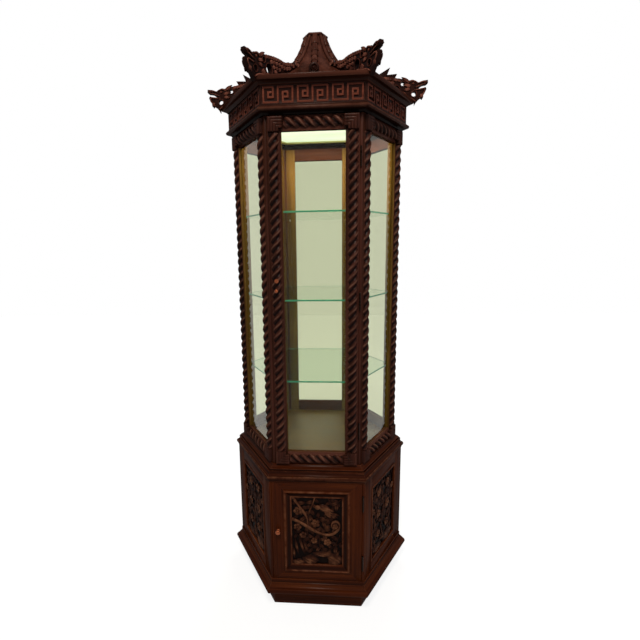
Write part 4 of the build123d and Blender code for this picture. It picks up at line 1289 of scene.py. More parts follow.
BLOSSOMING_BRANCH = Garden(
    stems=(
        (6.4, ((0.02, 1.00), (0.14, 0.88), (0.24, 0.78), (0.31, 0.70), (0.31, 0.60), (0.36, 0.53))),
        (4.8, ((0.46, 1.00), (0.42, 0.90), (0.35, 0.80), (0.30, 0.69))),
        (7.2, ((0.00, 0.68), (0.15, 0.64), (0.33, 0.56), (0.52, 0.48), (0.72, 0.44), (0.88, 0.49),
               (0.97, 0.58), (0.92, 0.66), (0.81, 0.65), (0.78, 0.57), (0.85, 0.54))),
        (3.0, ((0.73, 1.00), (0.77, 0.91), (0.87, 0.85), (0.97, 0.84))),
        (3.0, ((1.00, 0.99), (0.90, 0.92), (0.80, 0.88))),
        (3.4, ((0.30, 0.54), (0.32, 0.40), (0.37, 0.30), (0.42, 0.20))),
        (3.4, ((0.52, 0.49), (0.56, 0.37), (0.54, 0.27), (0.60, 0.20))),
        (3.0, ((0.96, 0.46), (0.91, 0.34), (0.82, 0.26))),
        (3.0, ((0.33, 0.56), (0.45, 0.68), (0.60, 0.72), (0.74, 0.70))),
        (2.6, ((0.60, 0.47), (0.68, 0.56), (0.66, 0.66))),
        (2.6, ((0.04, 0.50), (0.16, 0.38), (0.28, 0.32), (0.34, 0.22))),
        (2.6, ((0.98, 0.34), (0.88, 0.27), (0.74, 0.22))),
    ),
    blossoms=((0.12, 0.80, 38), (0.11, 0.56, 34), (0.47, 0.62, 38), (0.22, 0.44, 30),
              (0.71, 0.34, 34), (0.87, 0.58, 24), (0.44, 0.36, 28)),
    rocks=((0.36, 0.05, 70, 54), (0.86, 0.07, 62, 64), (0.62, 0.150, 92, 30), (0.12, 0.02, 60, 30)),
    long_leaves=((0.05, 0.40, 170, 84), (0.13, 0.42, 164, 92), (0.21, 0.36, 158, 70),
                 (0.02, 0.26, 176, 60), (0.95, 0.22, 205, 40), (0.74, 0.21, 200, 30)),
    bird=(0.52, 0.86),
)
CLIMBING_VINES = Garden(
    stems=(
        (4.2, ((0.10, 0.05), (0.24, 0.22), (0.08, 0.46), (0.30, 0.70), (0.10, 0.96))),
        (4.6, ((0.56, 0.08), (0.36, 0.30), (0.62, 0.54), (0.40, 0.78), (0.60, 0.98))),
        (4.2, ((0.90, 0.08), (0.74, 0.30), (0.94, 0.52), (0.76, 0.80), (0.94, 0.97))),
        (3.2, ((0.06, 0.80), (0.26, 0.66), (0.50, 0.64), (0.78, 0.74), (0.95, 0.66))),
        (3.2, ((0.10, 0.30), (0.30, 0.44), (0.52, 0.46))),
        (3.2, ((0.92, 0.40), (0.72, 0.44), (0.52, 0.34))),
        (2.8, ((0.20, 0.92), (0.34, 0.86), (0.46, 0.94))),
        (2.8, ((0.62, 0.70), (0.74, 0.62), (0.72, 0.50))),
    ),
    blossoms=((0.32, 0.83, 42), (0.70, 0.86, 40), (0.70, 0.55, 46), (0.30, 0.53, 40),
              (0.68, 0.27, 40), (0.30, 0.24, 36), (0.92, 0.74, 30), (0.06, 0.64, 30)),
    rocks=((0.28, 0.03, 90, 44), (0.74, 0.05, 104, 56), (0.50, 0.11, 70, 22)),
)


@dataclass
class CarvedPanel:
    """A panel with birds, boughs and rocks in high relief on a ground darkened with painted shade.
    """

    node: str
    body: str
    side: Side
    garden: Garden
    opening: Opening
    relief: float = 7.5 * MM
    leaf_pitch: float = 12.5 * MM
    leaf_length: float = 32.0 * MM
    leaf_variety: float = 5.0 * MM
    leaf_fullness: float = 0.52
    leaf_lean: float = 58.0
    # Painted shade: its strength on the ground, and the share of the relief's height over which it
    # fades.
    ground_shade: float = 1.3
    crest_share: float = 0.56

    def __post_init__(self) -> None:
        """Take the ground's place from the door's panel."""
        self.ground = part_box("cupboard_door_panel")[0].y

    def build(self, ornaments: Ornaments) -> Object:
        """Carve the panel on the front side.

        Args:
            ornaments: The patterns to copy.

        Returns:
            The carved panel.
        """
        ground = copy_of(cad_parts[self.node], "ground")
        weld(ground, flatten=False)
        stand(ground, turn=(0, 0, -self.side.turn))
        parts = [ground]
        for radius, spots in self.garden.stems:
            parts += self._bough(ornaments, radius * MM, [self._at(*spot) for spot in spots])
        for across, up, width in self.garden.blossoms:
            spot = self._at(across, up, 0.36 * self.relief)
            size = width * MM
            parts.append(ornaments.put("blossom", spot, (size, 1.5 * self.relief, size), width * 7))
        for number, (across, up, width, height) in enumerate(self.garden.rocks):
            spot = self._at(across, up, 0.10 * self.relief * (number % 2))
            parts.append(ornaments.put("rock", spot, (width * MM, 1.5 * self.relief, height * MM)))
        for across, up, turn, length in self.garden.long_leaves:
            parts.append(ornaments.put("feather", self._at(across, up, 0.1 * self.relief),
                                       (13 * MM, 1.4 * self.relief, length * MM), turn))
        if self.garden.bird is not None:
            parts += self._bird(ornaments, *self.garden.bird)
        return self._finished(parts)

    def _at(self, across: float, up: float, proud: float = 0.0) -> Point:
        """The place at shares of the width and the height, so far proud of the ground."""
        hole = self.opening
        return ((2.0 * across - 1.0) * hole.half_width, self.ground - proud,
                hole.foot + up * (hole.head - hole.foot))

    def _bough(self, ornaments: Ornaments, radius: float, spots: Sequence[Point]) -> list[Object]:
        """A tapering bough with leaves on both sides.

        Args:
            ornaments: The patterns to copy.
            radius: The bough's radius at its root.
            spots: Its course on the ground.

        Returns:
            The bough and its leaves.
        """
        sunk = self.ground - 0.12 * self.relief
        course = [(x, sunk, z) for x, _, z in spots]
        count = len(course)
        radii = [1.10 * radius * (1.0 - 0.40 * number / (count - 1))
                 * (1.0 + 0.25 * math.sin(4.0 * number)) for number in range(count)]
        parts = [tube("bough", course, radii)]
        walked, number = 0.4 * self.leaf_pitch, 0
        for start, end in zip(spots, spots[1:]):
            run = Vector(end) - Vector(start)
            heading = math.degrees(math.atan2(run.x, run.z))
            while walked < run.length:
                spot = Vector(start) + run * (walked / run.length)
                turn = heading + (self.leaf_lean if number % 2 else -self.leaf_lean)
                length = self.leaf_length + self.leaf_variety * math.sin(2.4 * number
                                                                         + spot.x * 40.0)
                tip = spot + Vector((math.sin(math.radians(turn)), 0,
                                     math.cos(math.radians(turn)))) * length
                if self.opening.beyond(tip.x, tip.z) < 0.0:
                    spot.y = self.ground - 0.08 * self.relief * (number % 3)
                    size = (self.leaf_fullness * length, 1.25 * self.relief, length)
                    parts.append(ornaments.put("leaf", tuple(spot), size, turn))
                walked += self.leaf_pitch
                number += 1
            walked -= run.length
        return parts

    def _bird(self, ornaments: Ornaments, across: float, up: float) -> list[Object]:
        """A perched bird with a folded wing and a long tail to the right.

        Args:
            ornaments: The patterns to copy.
            across: The head's place from the left.
            up: The head's place from the foot.

        Returns:
            The bird's parts.
        """
        x, _, z = self._at(across, up)
        deep = self.relief

        def at(right: float, above: float, proud: float) -> Point:
            """A place by its offsets from the head."""
            return (x + right * MM, self.ground - proud * deep, z + above * MM)

        parts = [
            ornaments.put("bead", at(0, 0, 0.45), (24 * MM, 1.15 * deep, 21 * MM)),
            ornaments.put("tooth", at(-8, 0, 0.45), (7 * MM, 0.4 * deep, 16 * MM), -100),
            ornaments.put("bead", at(-3, 3, 0.95), (4 * MM, 0.25 * deep, 4 * MM)),
            ornaments.put("leaf", at(2, 7, 0.25), (33 * MM, 1.4 * deep, 68 * MM), 116),
        ]
        for number in range(4):
            parts.append(ornaments.put("feather", at(14 + 4 * number, 2 - 7 * number, 0.50),
                                       (12 * MM, 1.1 * deep, (56 - 6 * number) * MM),
                                       110 + 8 * number))
        for number in range(3):
            parts.append(ornaments.put("feather", at(48, -20 - 4 * number, 0.12),
                                       (10 * MM, 1.3 * deep, (46 - 5 * number) * MM),
                                       112 + 12 * number))
        return parts

    def _finished(self, parts: Sequence[Object]) -> Object:
        """Join the relief to its ground, mark its painted shade and dress it.

        Args:
            parts: The ground and the ornaments.

        Returns:
            The panel.
        """
        panel = joined(list(parts), "relief_" + self.node)
        # Painted shade, darkest on the ground and fading towards the relief's crests.
        note_painted_shade_and_crests(panel, lambda co: self.ground_shade
                     - (self.ground - co.y) / (self.crest_share * self.relief))
        coat(panel, CARVED_WOOD.material(Grain.UPRIGHT))
        return panel

    def ride(self, panel: Object) -> Object:
        """Put a carved panel on its side, hang it on its body and hide the node that it stands for.

        Args:
            panel: The panel, as it was carved on the front side.

        Returns:
            The same panel.
        """
        stand(panel, turn=(0, 0, self.side.turn))
        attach(panel, self.body)
        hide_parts(self.node)
        return panel


@dataclass
class Dragons:
    """The six hip dragons, carved alike on both faces of their planks."""

    eave: float = 372 * MM
    cornice: float = 1997 * MM
    half_thickness: float = 8 * MM
    softness: float = 2.2 * MM
    relief: float = 3.6 * MM

    CLEAR = 9
    RIM = 0.5
    PLANK_SHADE = 0.80
    FACE_SHADE = 0.85

    PLAIN_BACK = ((-215, 88), (-179, 92), (-158, 84), (-137, 81), (-111, 83), (-80, 81), (-41, 75),
                  (-24, 69))
    ROOF_LINE = ((-244, 105), (-200, 72), (-172, 57), (-129, 36), (-102, 25), (-72, 15), (-32, 5),
                 (0, 0))
    HOLES = ((-64, 35, 8, 15.5), (-36, 57, 6, 7), (7, 19, 7, 8.5))
    MANE = ((8, 13, 27), (23, 15, 25), (39, 16, 24), (55, 18, 22))
    FACE = (("bead", (4, 56, 0.6), (11, 8, 9), 0), ("bead", (4, 56, 3.8), (4, 3.5, 4), 0),
            ("curl", (49, 60, 1.6), (13, 24, 11), 0), ("tooth", (30, 49, -3), (5, 5, 8), 176),
            ("tooth", (43, 53, -3), (5, 5, 9), 172), ("tooth", (34, 35, -3), (5, 5, 8), 8))
    BEARD = ((-4, 47, 34, -78), (-6, 38, 30, -100), (22, 22, 24, 150), (34, 20, 20, 160),
             (-12, 62, 36, -58), (-20, 16, 34, -84), (-42, 14, 34, -86), (-88, 34, 28, -80))

    @staticmethod
    def _line(spots: Sequence[Spot], out: float) -> float:
        """Measure a broken line.

        Args:
            spots: Its corners, from the axis outwards.
            out: The distance out from the eave's corner.

        Returns:
            The line's height there.
        """
        for (near, low), (far, high) in zip(spots, spots[1:]):
            if near <= out <= far:
                return low + (high - low) * (out - near) / (far - near)
        return spots[-1][1]

    def _at(self, out: float, height: float, proud: float = 0.0) -> Point:
        """The place so many millimetres out from the eave, above the cornice and proud."""
        return (self.eave + out * MM, -self.half_thickness - proud * MM, self.cornice + height * MM)

    def _ridge(self, name: str, *course: tuple[float, float, float, float]) -> Object:
        """A rounded ridge through places that each name their radius last, in millimetres."""
        return tube(name, [self._at(*spot[:3]) for spot in course],
                    [spot[3] * MM for spot in course])

    def _open(self, out: float, height: float) -> bool:
        """Whether a place is clear of the pierced holes."""
        return all(math.hypot(out - x, height - z) > wide + self.CLEAR
                   for x, z, _, wide in self.HOLES)

    def _widened(self, co: Vector, corner: Corner) -> Vector:
        """Widen the pierced holes of a plank.

        Args:
            co: A point of the plank.
            corner: The corner that the plank stands on.

        Returns:
            The point, moved outwards if it lies on the rim of a hole.
        """
        ahead = Vector((math.cos(corner.turn), math.sin(corner.turn), 0))
        for out, height, size, wide in self.HOLES:
            off = Vector((co.dot(ahead) - self.eave - out * MM, co.z - self.cornice - height * MM))
            if off.length < (size + self.RIM) * MM:
                off *= wide / size - 1.0
                return co + ahead * off.x + Vector((0, 0, off.y))
        return co

    def _mane(self, ornaments: Ornaments) -> list[Object]:
        """Rows of overlapping flames along the back and the flank.

        Args:
            ornaments: The patterns to copy.

        Returns:
            The flames.
        """
        parts = []
        for row, (below, pitch, length) in enumerate(self.MANE):
            out = -196.0 + row * 9
            while out < -18:
                height = self._line(self.PLAIN_BACK, out) - below
                clear = height > self._line(self.ROOF_LINE, out) + 9
                if clear and self._open(out - 6, height + 3):
                    parts.append(ornaments.put(
                        "leaf", self._at(out, height, 0.4 + 0.5 * (row % 2)),
                        (14 * MM, 9 * MM, length * MM), -72 + 9 * row))
                out += pitch
        return parts

    def _head(self, ornaments: Ornaments) -> list[Object]:
        """Brow, eye, snout, lips, fangs and beard.

        Args:
            ornaments: The patterns to copy.

        Returns:
            The head's parts.
        """
        parts = [
            self._ridge("brow", (-16, 58, 1, 1.6), (-8, 67, 2, 3.2), (8, 66, 2.5, 3.2),
                        (22, 57, 1, 1.2)),
            self._ridge("snout", (18, 56, 1, 1.6), (34, 61, 2, 2.8), (50, 64, 2, 3.2),
                        (57, 60, 1, 2.2)),
            self._ridge("lip", (10, 43, 1, 1.5), (24, 46, 2, 2.0), (38, 53, 2, 2.0),
                        (52, 54, 1, 1.3)),
            self._ridge("jaw", (8, 34, 1, 1.6), (26, 34, 2, 2.6), (44, 38, 2, 2.6),
                        (50, 30, 2, 3.0), (42, 16, 2, 2.8), (28, 3, 1, 1.6)),
        ]
        for kind, spot, (width, deep, length), turn in self.FACE:
            parts.append(ornaments.put(kind, self._at(*spot), (width * MM, deep * MM, length * MM),
                                       turn))
        for out, height, length, turn in self.BEARD:
            if self._open(out - 8, height):
                parts.append(ornaments.put("leaf", self._at(out, height, 0.8),
                                           (13 * MM, 9 * MM, length * MM), turn))
        return parts

    def _flank(self, ornaments: Ornaments) -> list[Object]:
        """Rings round the pierced holes, the belly's roll and the curl of the tail.

        Args:
            ornaments: The patterns to copy.

        Returns:
            The flank's parts.
        """
        parts = []
        for out, height, _, size in self.HOLES:
            bpy.ops.mesh.primitive_torus_add(
                location=self._at(out, height, 0.4), rotation=(math.pi / 2, 0, 0),
                major_segments=24, minor_segments=8, major_radius=(size + 2.6) * MM,
                minor_radius=2.2 * MM)
            hoop = bpy.context.object
            parts.append(stand(hoop, hoop.location, hoop.rotation_euler))
        parts.append(self._ridge("belly", (-92, 25, 0, 2.0), (-60, 16, 1.5, 3.0),
                                 (-30, 9, 2, 3.4), (0, 3, 2, 3.4), (14, -8, 1, 2.0)))
        tail = self._at(-229, 97, 1.5)
        parts.append(ornaments.put("curl", tail, (26 * MM, 44 * MM, 26 * MM), 20))
        parts.append(ornaments.put("bead", tail, (9 * MM, 9 * MM, 9 * MM)))
        return parts

    def build(self) -> list[Object]:
        """Carve all six.

        Returns:
            The dragons.
        """
        ornaments = Ornaments()
        near = joined(self._mane(ornaments) + self._head(ornaments) + self._flank(ornaments),
                      "near_relief")
        ornaments.scrap()
        far = stand(copy_of(near, "far_relief"), size=(1, -1, 1))
        relief = joined([near, far], "relief")
        smooth(relief, 60)
        # Painted shade on the carving, deepest where it meets the plank.
        note_painted_shade_and_crests(relief, lambda co: self.FACE_SHADE
                     - (abs(co.y) - self.half_thickness) / self.relief)
        dragons = []
        for corner in Corner:
            node = "dragon_" + corner.label
            plank = copy_of(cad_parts[node], "plank")
            weld(plank)
            sculpt(plank, lambda co, corner=corner: self._widened(co, corner))
            modify(plank, "BEVEL", width=self.softness, segments=3, limit_method="ANGLE",
                   angle_limit=math.radians(40), use_clamp_overlap=True)
            smooth(plank, 40)
            # Painted shade: the plank's faces are darkened all over, round and behind the carving.
            note_painted_shade_and_crests(plank, lambda co: self.PLANK_SHADE)
            carving = stand(copy_of(relief, "carving"), turn=(0, 0, corner.turn))
            dragon = joined([plank, carving], "carved_" + node)
            coat(dragon, DRAGON_WOOD.material(Grain.UPRIGHT))
            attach(dragon, "case")
            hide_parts(node)
            dragons.append(dragon)
        scrap(relief)
        return dragons


@dataclass
class RoofTiles:
    """The rib of lapped half-round tiles down each side of the roof, with a carved boss below."""

    width: float = 24 * MM
    lip: float = 2.4 * MM
    courses: tuple[tuple[Spot, Spot], ...] = (
        ((35.5, 2229), (48.2, 2194)), ((48.2, 2194), (61.2, 2165)), ((61.2, 2165), (77.2, 2140)),
        ((77.2, 2140), (100.2, 2113)), ((100.2, 2113), (138.0, 2077)))
    boss_front: float = 177.5 * MM
    boss_width: float = 37 * MM
    boss_foot: float = 2036 * MM
    boss_head: float = 2085.5 * MM
    boss_depth: float = 50 * MM
    rib_foot: float = 140 * MM

    BOSS_SHADE = 0.65
    TILE_SHADE = 0.2

    def build(self) -> list[Object]:
        """Make the rib and boss once and copy them to all sides.

        Returns:
            The six ribs.
        """
        ornaments = Ornaments()
        parts = [self._tile(*[(near * MM, top * MM) for near, top in course])
                 for course in self.courses]
        parts += self._boss(ornaments)
        ornaments.scrap()
        rib = joined(parts, "rib")
        smooth(rib, 50)
        # Painted shade: the boss under the tiles is darkened deeply, the tiles a little.
        note_painted_shade_and_crests(rib, lambda co: self.BOSS_SHADE if co.z < self.boss_head
                     and -co.y > self.rib_foot else self.TILE_SHADE)
        coat(rib, CASE_WOOD.material(Grain.UPRIGHT))
        ribs = []
        for side in Side:
            piece = stand(copy_of(rib, "tile_rib_" + side.label), turn=(0, 0, side.turn))
            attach(piece, "case")
            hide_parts("tile_ribs")
            ribs.append(piece)
        scrap(rib)
        return ribs

    def _tile(self, head: Spot, foot: Spot) -> Object:
        """A half-round tile that widens to a rolled lip at its foot.

        Args:
            head: Distance from the axis and height of its upper end.
            foot: The same of its lower end.

        Returns:
            The tile.
        """
        run = Vector((0, -(foot[0] - head[0]), foot[1] - head[1]))
        length = run.length + 4 * MM
        bpy.ops.mesh.primitive_cylinder_add(vertices=28, radius=1.0, depth=1.0)
        tile = bpy.context.object
        with editing(tile):
            bpy.ops.mesh.bisect(plane_co=(0, 0, 0.40), plane_no=(0, 0, 1))
            bpy.ops.mesh.select_all(action="SELECT")
            bpy.ops.mesh.bisect(plane_co=(0, 0, 0.30), plane_no=(0, 0, 1))

        def shape(co: Vector) -> Vector:
            """Spread the cylinder towards its foot and roll its lip.

            Args:
                co: A point of it.

            Returns:
                Its new place.
            """
            radius = self.width / 2 * (0.86 + 0.10 * (co.z + 0.5))
            if co.z > 0.25:
                radius += self.lip * (1.0 if co.z < 0.45 else 0.55)
            return Vector((co.x * radius, co.y * radius, (co.z + 0.5) * length))

        sculpt(tile, shape)
        tilt = math.atan2(-run.y, -run.z)
        return stand(tile, (0, -head[0], head[1]), (math.pi - tilt, 0, 0))

    def _boss(self, ornaments: Ornaments) -> list[Object]:
        """An arched block with a scroll on its face.

        Args:
            ornaments: The patterns to copy.

        Returns:
            The block and its carving.
        """
        half = self.boss_width / 2
        spring = self.boss_head - half
        outline = [(half, self.boss_foot), (-half, self.boss_foot)]
        steps = 14
        for number in range(steps + 1):
            angle = math.pi * (1.0 - number / steps)
            outline.append((half * math.cos(angle), spring + half * math.sin(angle)))
        block = plate("boss", outline, -self.boss_front + 3 * MM,
                      -self.boss_front + self.boss_depth)
        modify(block, "BEVEL", width=2.5 * MM, segments=3, limit_method="ANGLE",
               angle_limit=math.radians(50))
        front = -self.boss_front + 2.5 * MM
        middle = (0, front, spring - 1 * MM)
        parts = [block, ornaments.put("curl", middle, (35 * MM, 44 * MM, 35 * MM), 70),
                 ornaments.put("bead", middle, (11 * MM, 11 * MM, 11 * MM))]
        for turn in (-150, 150):
            parts.append(ornaments.put("leaf", (0, front, spring - 8 * MM),
                                       (12 * MM, 9 * MM, 24 * MM), turn))
        return parts


# ------------------------------------------------------------------------------ the plain pieces
@dataclass
class Fittings:
    """The nodes that stay as they are and only take a finish."""

    bronze: tuple[str, ...] = ("case_door_hinge_leaves", "hinge_pins", "hinge_post_leaves",
                               "cupboard_door_hinge_leaves")
    coppery: tuple[str, ...] = ("cupboard_door_knob", "case_door_knob", "lock_barrel", "lock_plug")
    steel: tuple[str, ...] = ("lock_cam", "catch_plate", "shelf_pins")
    black: tuple[str, ...] = ("catch_magnet", "cable_gland")

    def dress(self) -> None:
        """Give every such node its material."""
        for names, finish in ((self.bronze, BRONZE), (self.coppery, COPPERY), (self.steel, STEEL),
                              (self.black, BLACK_PLASTIC)):
            material = finish.material()
            for name in names:
                coat(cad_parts[name], material)
        for name, material in (("lamp_housing", WHITE_METAL.material()),
                               ("lamp_diffuser", OPAL.material()),
                               ("case_floor", FLOOR_SHEET.material()),
                               ("ceiling_ring", LAMPLIT_CEILING_SHEET.material()),
                               ("cupboard_floor", CUPBOARD_WOOD.material(Grain.LEVEL))):
            coat(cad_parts[name], material)


@dataclass
class Glazing:
    """The panes and the shelves, copied so that their cut edges can be told from their faces."""

    arris: float = 0.5 * MM
    panes: dict[str, str] = field(default_factory=lambda: {
        "door_glass": "case_door", **{"glass_pane_" + side.label: "case" for side in Side
                                      if side is not Side.FRONT}})
    shelves: tuple[str, ...] = ("glass_shelf_lower", "glass_shelf_middle", "glass_shelf_upper")

    def dress(self) -> list[Object]:
        """Make all sheets.

        Returns:
            The sheets.
        """
        window, shelf = WINDOW_GLASS.material(), SHELF_GLASS.material()
        sheets = [self._sheet(node, body, window)
                  for node, body in self.panes.items()]
        sheets += [self._sheet(node, "case", shelf) for node in self.shelves]
        return sheets

    def _sheet(self, node: str, body: str, material: bpy.types.Material) -> Object:
        """Copy a sheet of glass with an arris along its edges.

        Args:
            node: The frame's node.
            body: The body that it rides on.
            material: Its material.

        Returns:
            The sheet.
        """
        sheet = copy_of(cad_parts[node], "sheet_" + node)
        weld(sheet)
        modify(sheet, "BEVEL", width=self.arris, segments=1, limit_method="ANGLE")
        coat(sheet, material)
        largest = max(sheet.data.polygons, key=lambda polygon: polygon.area).normal.copy()
        notes = sheet.data.attributes.new("cut_edge", "FLOAT", "FACE")
        for polygon, note in zip(sheet.data.polygons, notes.data):
            note.value = 0.0 if abs(polygon.normal.dot(largest)) > 0.9 else 1.0
        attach(sheet, body)
        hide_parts(node)
        return sheet


# ------------------------------------------------------------------------------ studio
@dataclass
class Studio:
    """A pale floor, soft light and the camera."""

    floor_size: float = 14.0
    camera_place: Point = (0.0629, -1.8532, 1.4542)
    camera_yaw: float = 0.0792
    camera_pitch: float = -0.1819
    camera_roll: float = -0.0171
    focal_pixels: float = 435.39
    centre_pixel: Spot = (298.4, 323.9)
    picture: float = 640.0
    sensor: float = 36.0
    paper_light: float = 1.1
    far_light: float = 1.3
    glow_reach: Spot = (0.7, 2.6)
    sky_light: float = 0.22
    paper_veil: float = 0.22

    def build(self) -> None:
        """Set up everything round the cabinet."""
        self._floor()
        self._world()
        self._lamps()
        self._camera()

    def _paper(self, name: str, colour: str) -> bpy.types.Material:
        """Pale paper that the camera sees as white and that keeps the cabinet's shadow.

        Args:
            name: The material's name.
            colour: The paper's colour.

        Returns:
            The material.
        """
        bench = Bench(name)
        mottle = bench.noise(bench.place(), 3.0, detail=2.0)
        shade = bench.blend(bench.between(mottle, 0.3, 0.7, 0.0, 0.3), tint(colour), tint("ffffff"))
        paper = bench.add("BsdfPrincipled", {"Base Color": shade, "Roughness": 0.9})
        dim = bench.blend(0.55, shade, tint("5a5854"))
        bounce = bench.add("BsdfPrincipled", {"Base Color": dim, "Roughness": 0.9})
        apart = bench.add("VectorMath", {0: bench.place()}, operation="LENGTH").outputs["Value"]
        glow = bench.between(apart, *self.glow_reach, self.paper_light, self.far_light)
        light = bench.add("Emission", {"Strength": glow})
        veiled = bench.add("MixShader", {0: self.paper_veil, 1: light.outputs[0],
                                         2: paper.outputs[0]})
        shown = bench.add("MixShader", {0: bench.seen(), 1: bounce.outputs[0],
                                        2: veiled.outputs[0]})
        return bench.finish(shown.outputs[0])

    def _floor(self) -> None:
        """A large plane under the cabinet."""
        bpy.ops.mesh.primitive_plane_add(size=self.floor_size, location=(0, 0, 0))
        floor = bpy.context.object
        floor.name = "studio_floor"
        floor.data.materials.append(self._paper("studio_paper", "f2f2f0"))

    def _world(self) -> None:
        """An even sky for the light, and white where the camera sees it."""
        bench = Bench("studio_sky", sky=True)
        soft = bench.add("Background", {"Color": tint("f4f6ff"), "Strength": self.sky_light})
        white = bench.add("Background", {"Color": tint("ffffff"), "Strength": 1.0})
        sky = bench.add("MixShader", {0: bench.seen(), 1: soft.outputs[0], 2: white.outputs[0]})
        bpy.context.scene.world = bench.finish(sky.outputs[0])

    def _lamps(self) -> None:
        """A soft key above the front, a weaker fill from the right, and lamps behind and inside."""
        self._lamp("key", (-0.1, -2.5, 4.3), (0, 0, 1.1), 0.9, 126.0, "fff4e4")
        self._lamp("fill", (2.6, -2.6, 2.4), (0, 0, 1.0), 0.8, 20.0, "f6f4ff")
        self._lamp("back", (0.6, 3.0, 3.4), (0, 0, 1.4), 1.6, 60.0, "ffffff")
        ceiling = self._lamp("ceiling", (0, 0, 1.90), (0, 0, 1.0), 0.36, 8.5, "fff3c8")
        ceiling.visible_glossy = False

    def _lamp(self, name: str, place: Point, target: Point, size: float, power: float,
              colour: str) -> Object:
        """A square area lamp.

        Args:
            name: The lamp's name.
            place: Where it hangs.
            target: The point that it faces.
            size: The length of its edges.
            power: Its power in watts.
            colour: Its colour.

        Returns:
            The lamp.
        """
        bpy.ops.object.light_add(type="AREA", location=place)
        lamp = bpy.context.object
        lamp.name = name
        lamp.data.shape = "SQUARE"
        lamp.data.size = size
        lamp.data.energy = power
        lamp.data.color = tint(colour)[:3]
        lamp.visible_camera = False
        lamp.visible_transmission = False
        aim = Vector(target) - Vector(place)
        lamp.rotation_euler = aim.to_track_quat("-Z", "Y").to_euler()
        return lamp

    def _camera(self) -> None:
        """A camera at a standing viewer's eye."""
        bpy.ops.object.camera_add(location=self.camera_place)
        camera = bpy.context.object
        camera.name = "camera"
        yaw, pitch, roll = self.camera_yaw, self.camera_pitch, self.camera_roll
        ahead = Vector((-math.sin(yaw) * math.cos(pitch), math.cos(yaw) * math.cos(pitch),
                        math.sin(pitch)))
        right = Vector((math.cos(yaw), math.sin(yaw), 0.0))
        up = right.cross(ahead)
        across = right * math.cos(roll) + up * math.sin(roll)
        above = up * math.cos(roll) - right * math.sin(roll)
        matrix = camera.matrix_world.copy()
        for row in range(3):
            matrix[row][0] = across[row]
            matrix[row][1] = above[row]
            matrix[row][2] = -ahead[row]
        camera.matrix_world = matrix
        camera.data.sensor_width = self.sensor
        camera.data.lens = self.focal_pixels / self.picture * self.sensor
        camera.data.shift_x = (self.picture / 2 - self.centre_pixel[0]) / self.picture
        camera.data.shift_y = (self.centre_pixel[1] - self.picture / 2) / self.picture
        camera.data.clip_start = 0.05
        bpy.context.scene.camera = camera


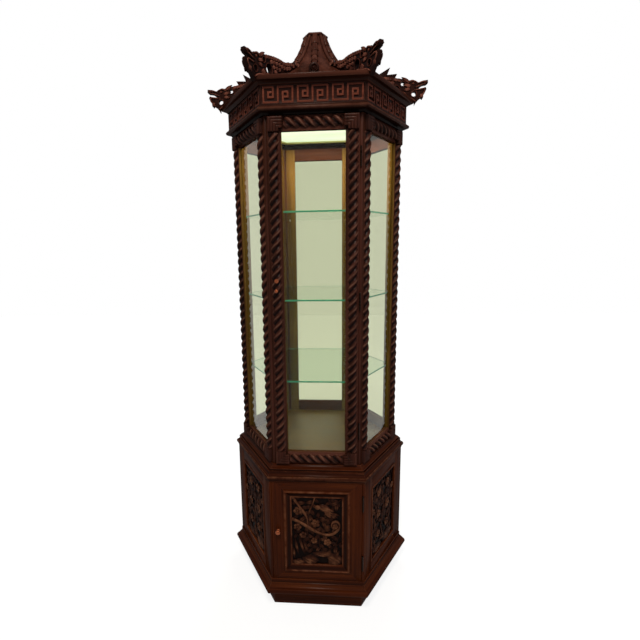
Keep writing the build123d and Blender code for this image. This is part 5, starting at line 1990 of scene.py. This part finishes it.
# ------------------------------------------------------------------------------ the cabinet
def joinery() -> list[Joinery]:
    """List the boards of the cabinet, with how each set is told apart and dressed.

    Returns:
        The sets, in the order in which they are built.
    """
    pane_low, pane_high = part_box("door_glass")
    panel_low, panel_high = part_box("cupboard_door_panel")
    groove = 8.0 * MM
    tongue = 6.0 * MM
    glazed = Frame(Opening(pane_high.x - groove, pane_low.z, pane_high.z), False)
    panelled = Frame(SIDE_OPENING.inset(-FRAME_LAP), False)
    door = Frame(Opening(panel_high.x, panel_low.z, panel_high.z).inset(tongue), True)
    bead = Frame(SIDE_OPENING, True)
    cove_middle, cove_half = -0.25 * MM, 8.5 * MM
    front = -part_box("frieze_moulding")[0].y

    def cove(spot: Vector) -> float:
        """How deep in the door moulding's cove a point lies, for the painted shade there."""
        share = abs(DOOR_OPENING.beyond(spot.x, spot.z) - cove_middle) / cove_half
        return 0.1 if share > 1.0 else 0.82 - 0.6 * share ** 2

    def recess(spot: Vector) -> float:
        """How far a point lies behind the foremost bead of the frieze moulding, for painted shade
        that deepens with it.
        """
        turn = side_of(spot).turn
        out = spot.x * math.sin(turn) - spot.y * math.cos(turn)
        return 0.12 + 0.045 * (front - out) / MM

    return [
        Joinery("plinth", "case", CUPBOARD_WOOD, "cupboard_wood", ring),
        Joinery("base_moulding", "case", CUPBOARD_WOOD, "cupboard_wood", ring, 0.8 * MM,
                shade_folds=True),
        Joinery("cupboard_corner_posts", "case", CUPBOARD_WOOD, "cupboard_wood", post, 1.2 * MM),
        Joinery("cupboard_side_frames", "case", CUPBOARD_WOOD, "cupboard_wood", panelled),
        Joinery("panel_beads", "case", CUPBOARD_WOOD, "cupboard_wood", bead, 2.0 * MM, 3),
        Joinery("cupboard_door_frame", "cupboard_door", CUPBOARD_WOOD, "cupboard_wood", door),
        Joinery("cupboard_door_moulding", "cupboard_door", CUPBOARD_WOOD, "cupboard_wood", door,
                0.8 * MM, depth=cove),
        Joinery("waist_moulding", "case", CUPBOARD_WOOD, "cupboard_wood", ring, 0.8 * MM,
                shade_folds=True),
        Joinery("case_corner_posts", "case", CASE_WOOD, "case_wood", post, 1.2 * MM),
        Joinery("case_side_frames", "case", CASE_WOOD, "case_wood", glazed, lining=LAMPLIT_WOOD),
        Joinery("case_door_frame", "case_door", CASE_WOOD, "case_wood", glazed,
                lining=LAMPLIT_WOOD),
        Joinery("frieze_moulding", "case", SHADED_WOOD, "case_wood", ring, 0.8 * MM, depth=recess),
        # Painted shade: the frieze's ground between the fret is darkened all over.
        Joinery("frieze_boards", "case", CASE_WOOD, "case_wood", ring, depth=lambda spot: 0.72),
        Joinery("key_fret", "case", FRET_WOOD, "carving_wood", ring, 0.6 * MM),
        Joinery("cornice", "case", SHADED_WOOD, "case_wood", ring, 0.8 * MM, shade_folds=True),
        # Painted shade: the roof's slopes are darkened a little.
        Joinery("roof_slopes", "case", CASE_WOOD, "case_wood",
                lambda spot: (side_of(spot), Grain.UPRIGHT), 1.0 * MM, depth=lambda spot: 0.22),
        Joinery("hip_ridges", "case", CASE_WOOD, "case_wood", post, 1.2 * MM),
        Joinery("spire_cap", "case", CASE_WOOD, "case_wood",
                lambda spot: (Side.FRONT, Grain.LEVEL), 1.0 * MM),
    ]


def carved_panels() -> list[Object]:
    """The door's panel and the five side panels, which are carved alike.

    Returns:
        The six panels.
    """
    ornaments = Ornaments()
    door = CarvedPanel("cupboard_door_panel", "cupboard_door", Side.FRONT, BLOSSOMING_BRANCH,
                       DOOR_OPENING.inset(DOOR_LIP))
    panels = [door.ride(door.build(ornaments))]
    fixed = [CarvedPanel("carved_panel_" + side.label, "case", side, CLIMBING_VINES, SIDE_OPENING)
             for side in Side if side is not Side.FRONT]
    pattern = fixed[0].build(ornaments)
    panels += [panel.ride(copy_of(pattern, "relief_" + panel.node)) for panel in fixed]
    ornaments.scrap()
    scrap(pattern)
    return panels


def main() -> None:
    """Build and dress the whole cabinet."""
    logging.basicConfig(level=logging.INFO, format="%(name)s: %(message)s")
    scene = bpy.context.scene
    scene.view_settings.view_transform = "Standard"
    Studio().build()
    for boards in joinery():
        piece = boards.build()
        log.info("%s: %d faces", piece.name, len(piece.data.polygons))
    for piece in RopeMoulding().dress() + carved_panels() + Dragons().build() + RoofTiles().build():
        log.info("%s: %d faces", piece.name, len(piece.data.polygons))
    Glazing().dress()
    Fittings().dress()


if __name__ == "__main__":
    main()
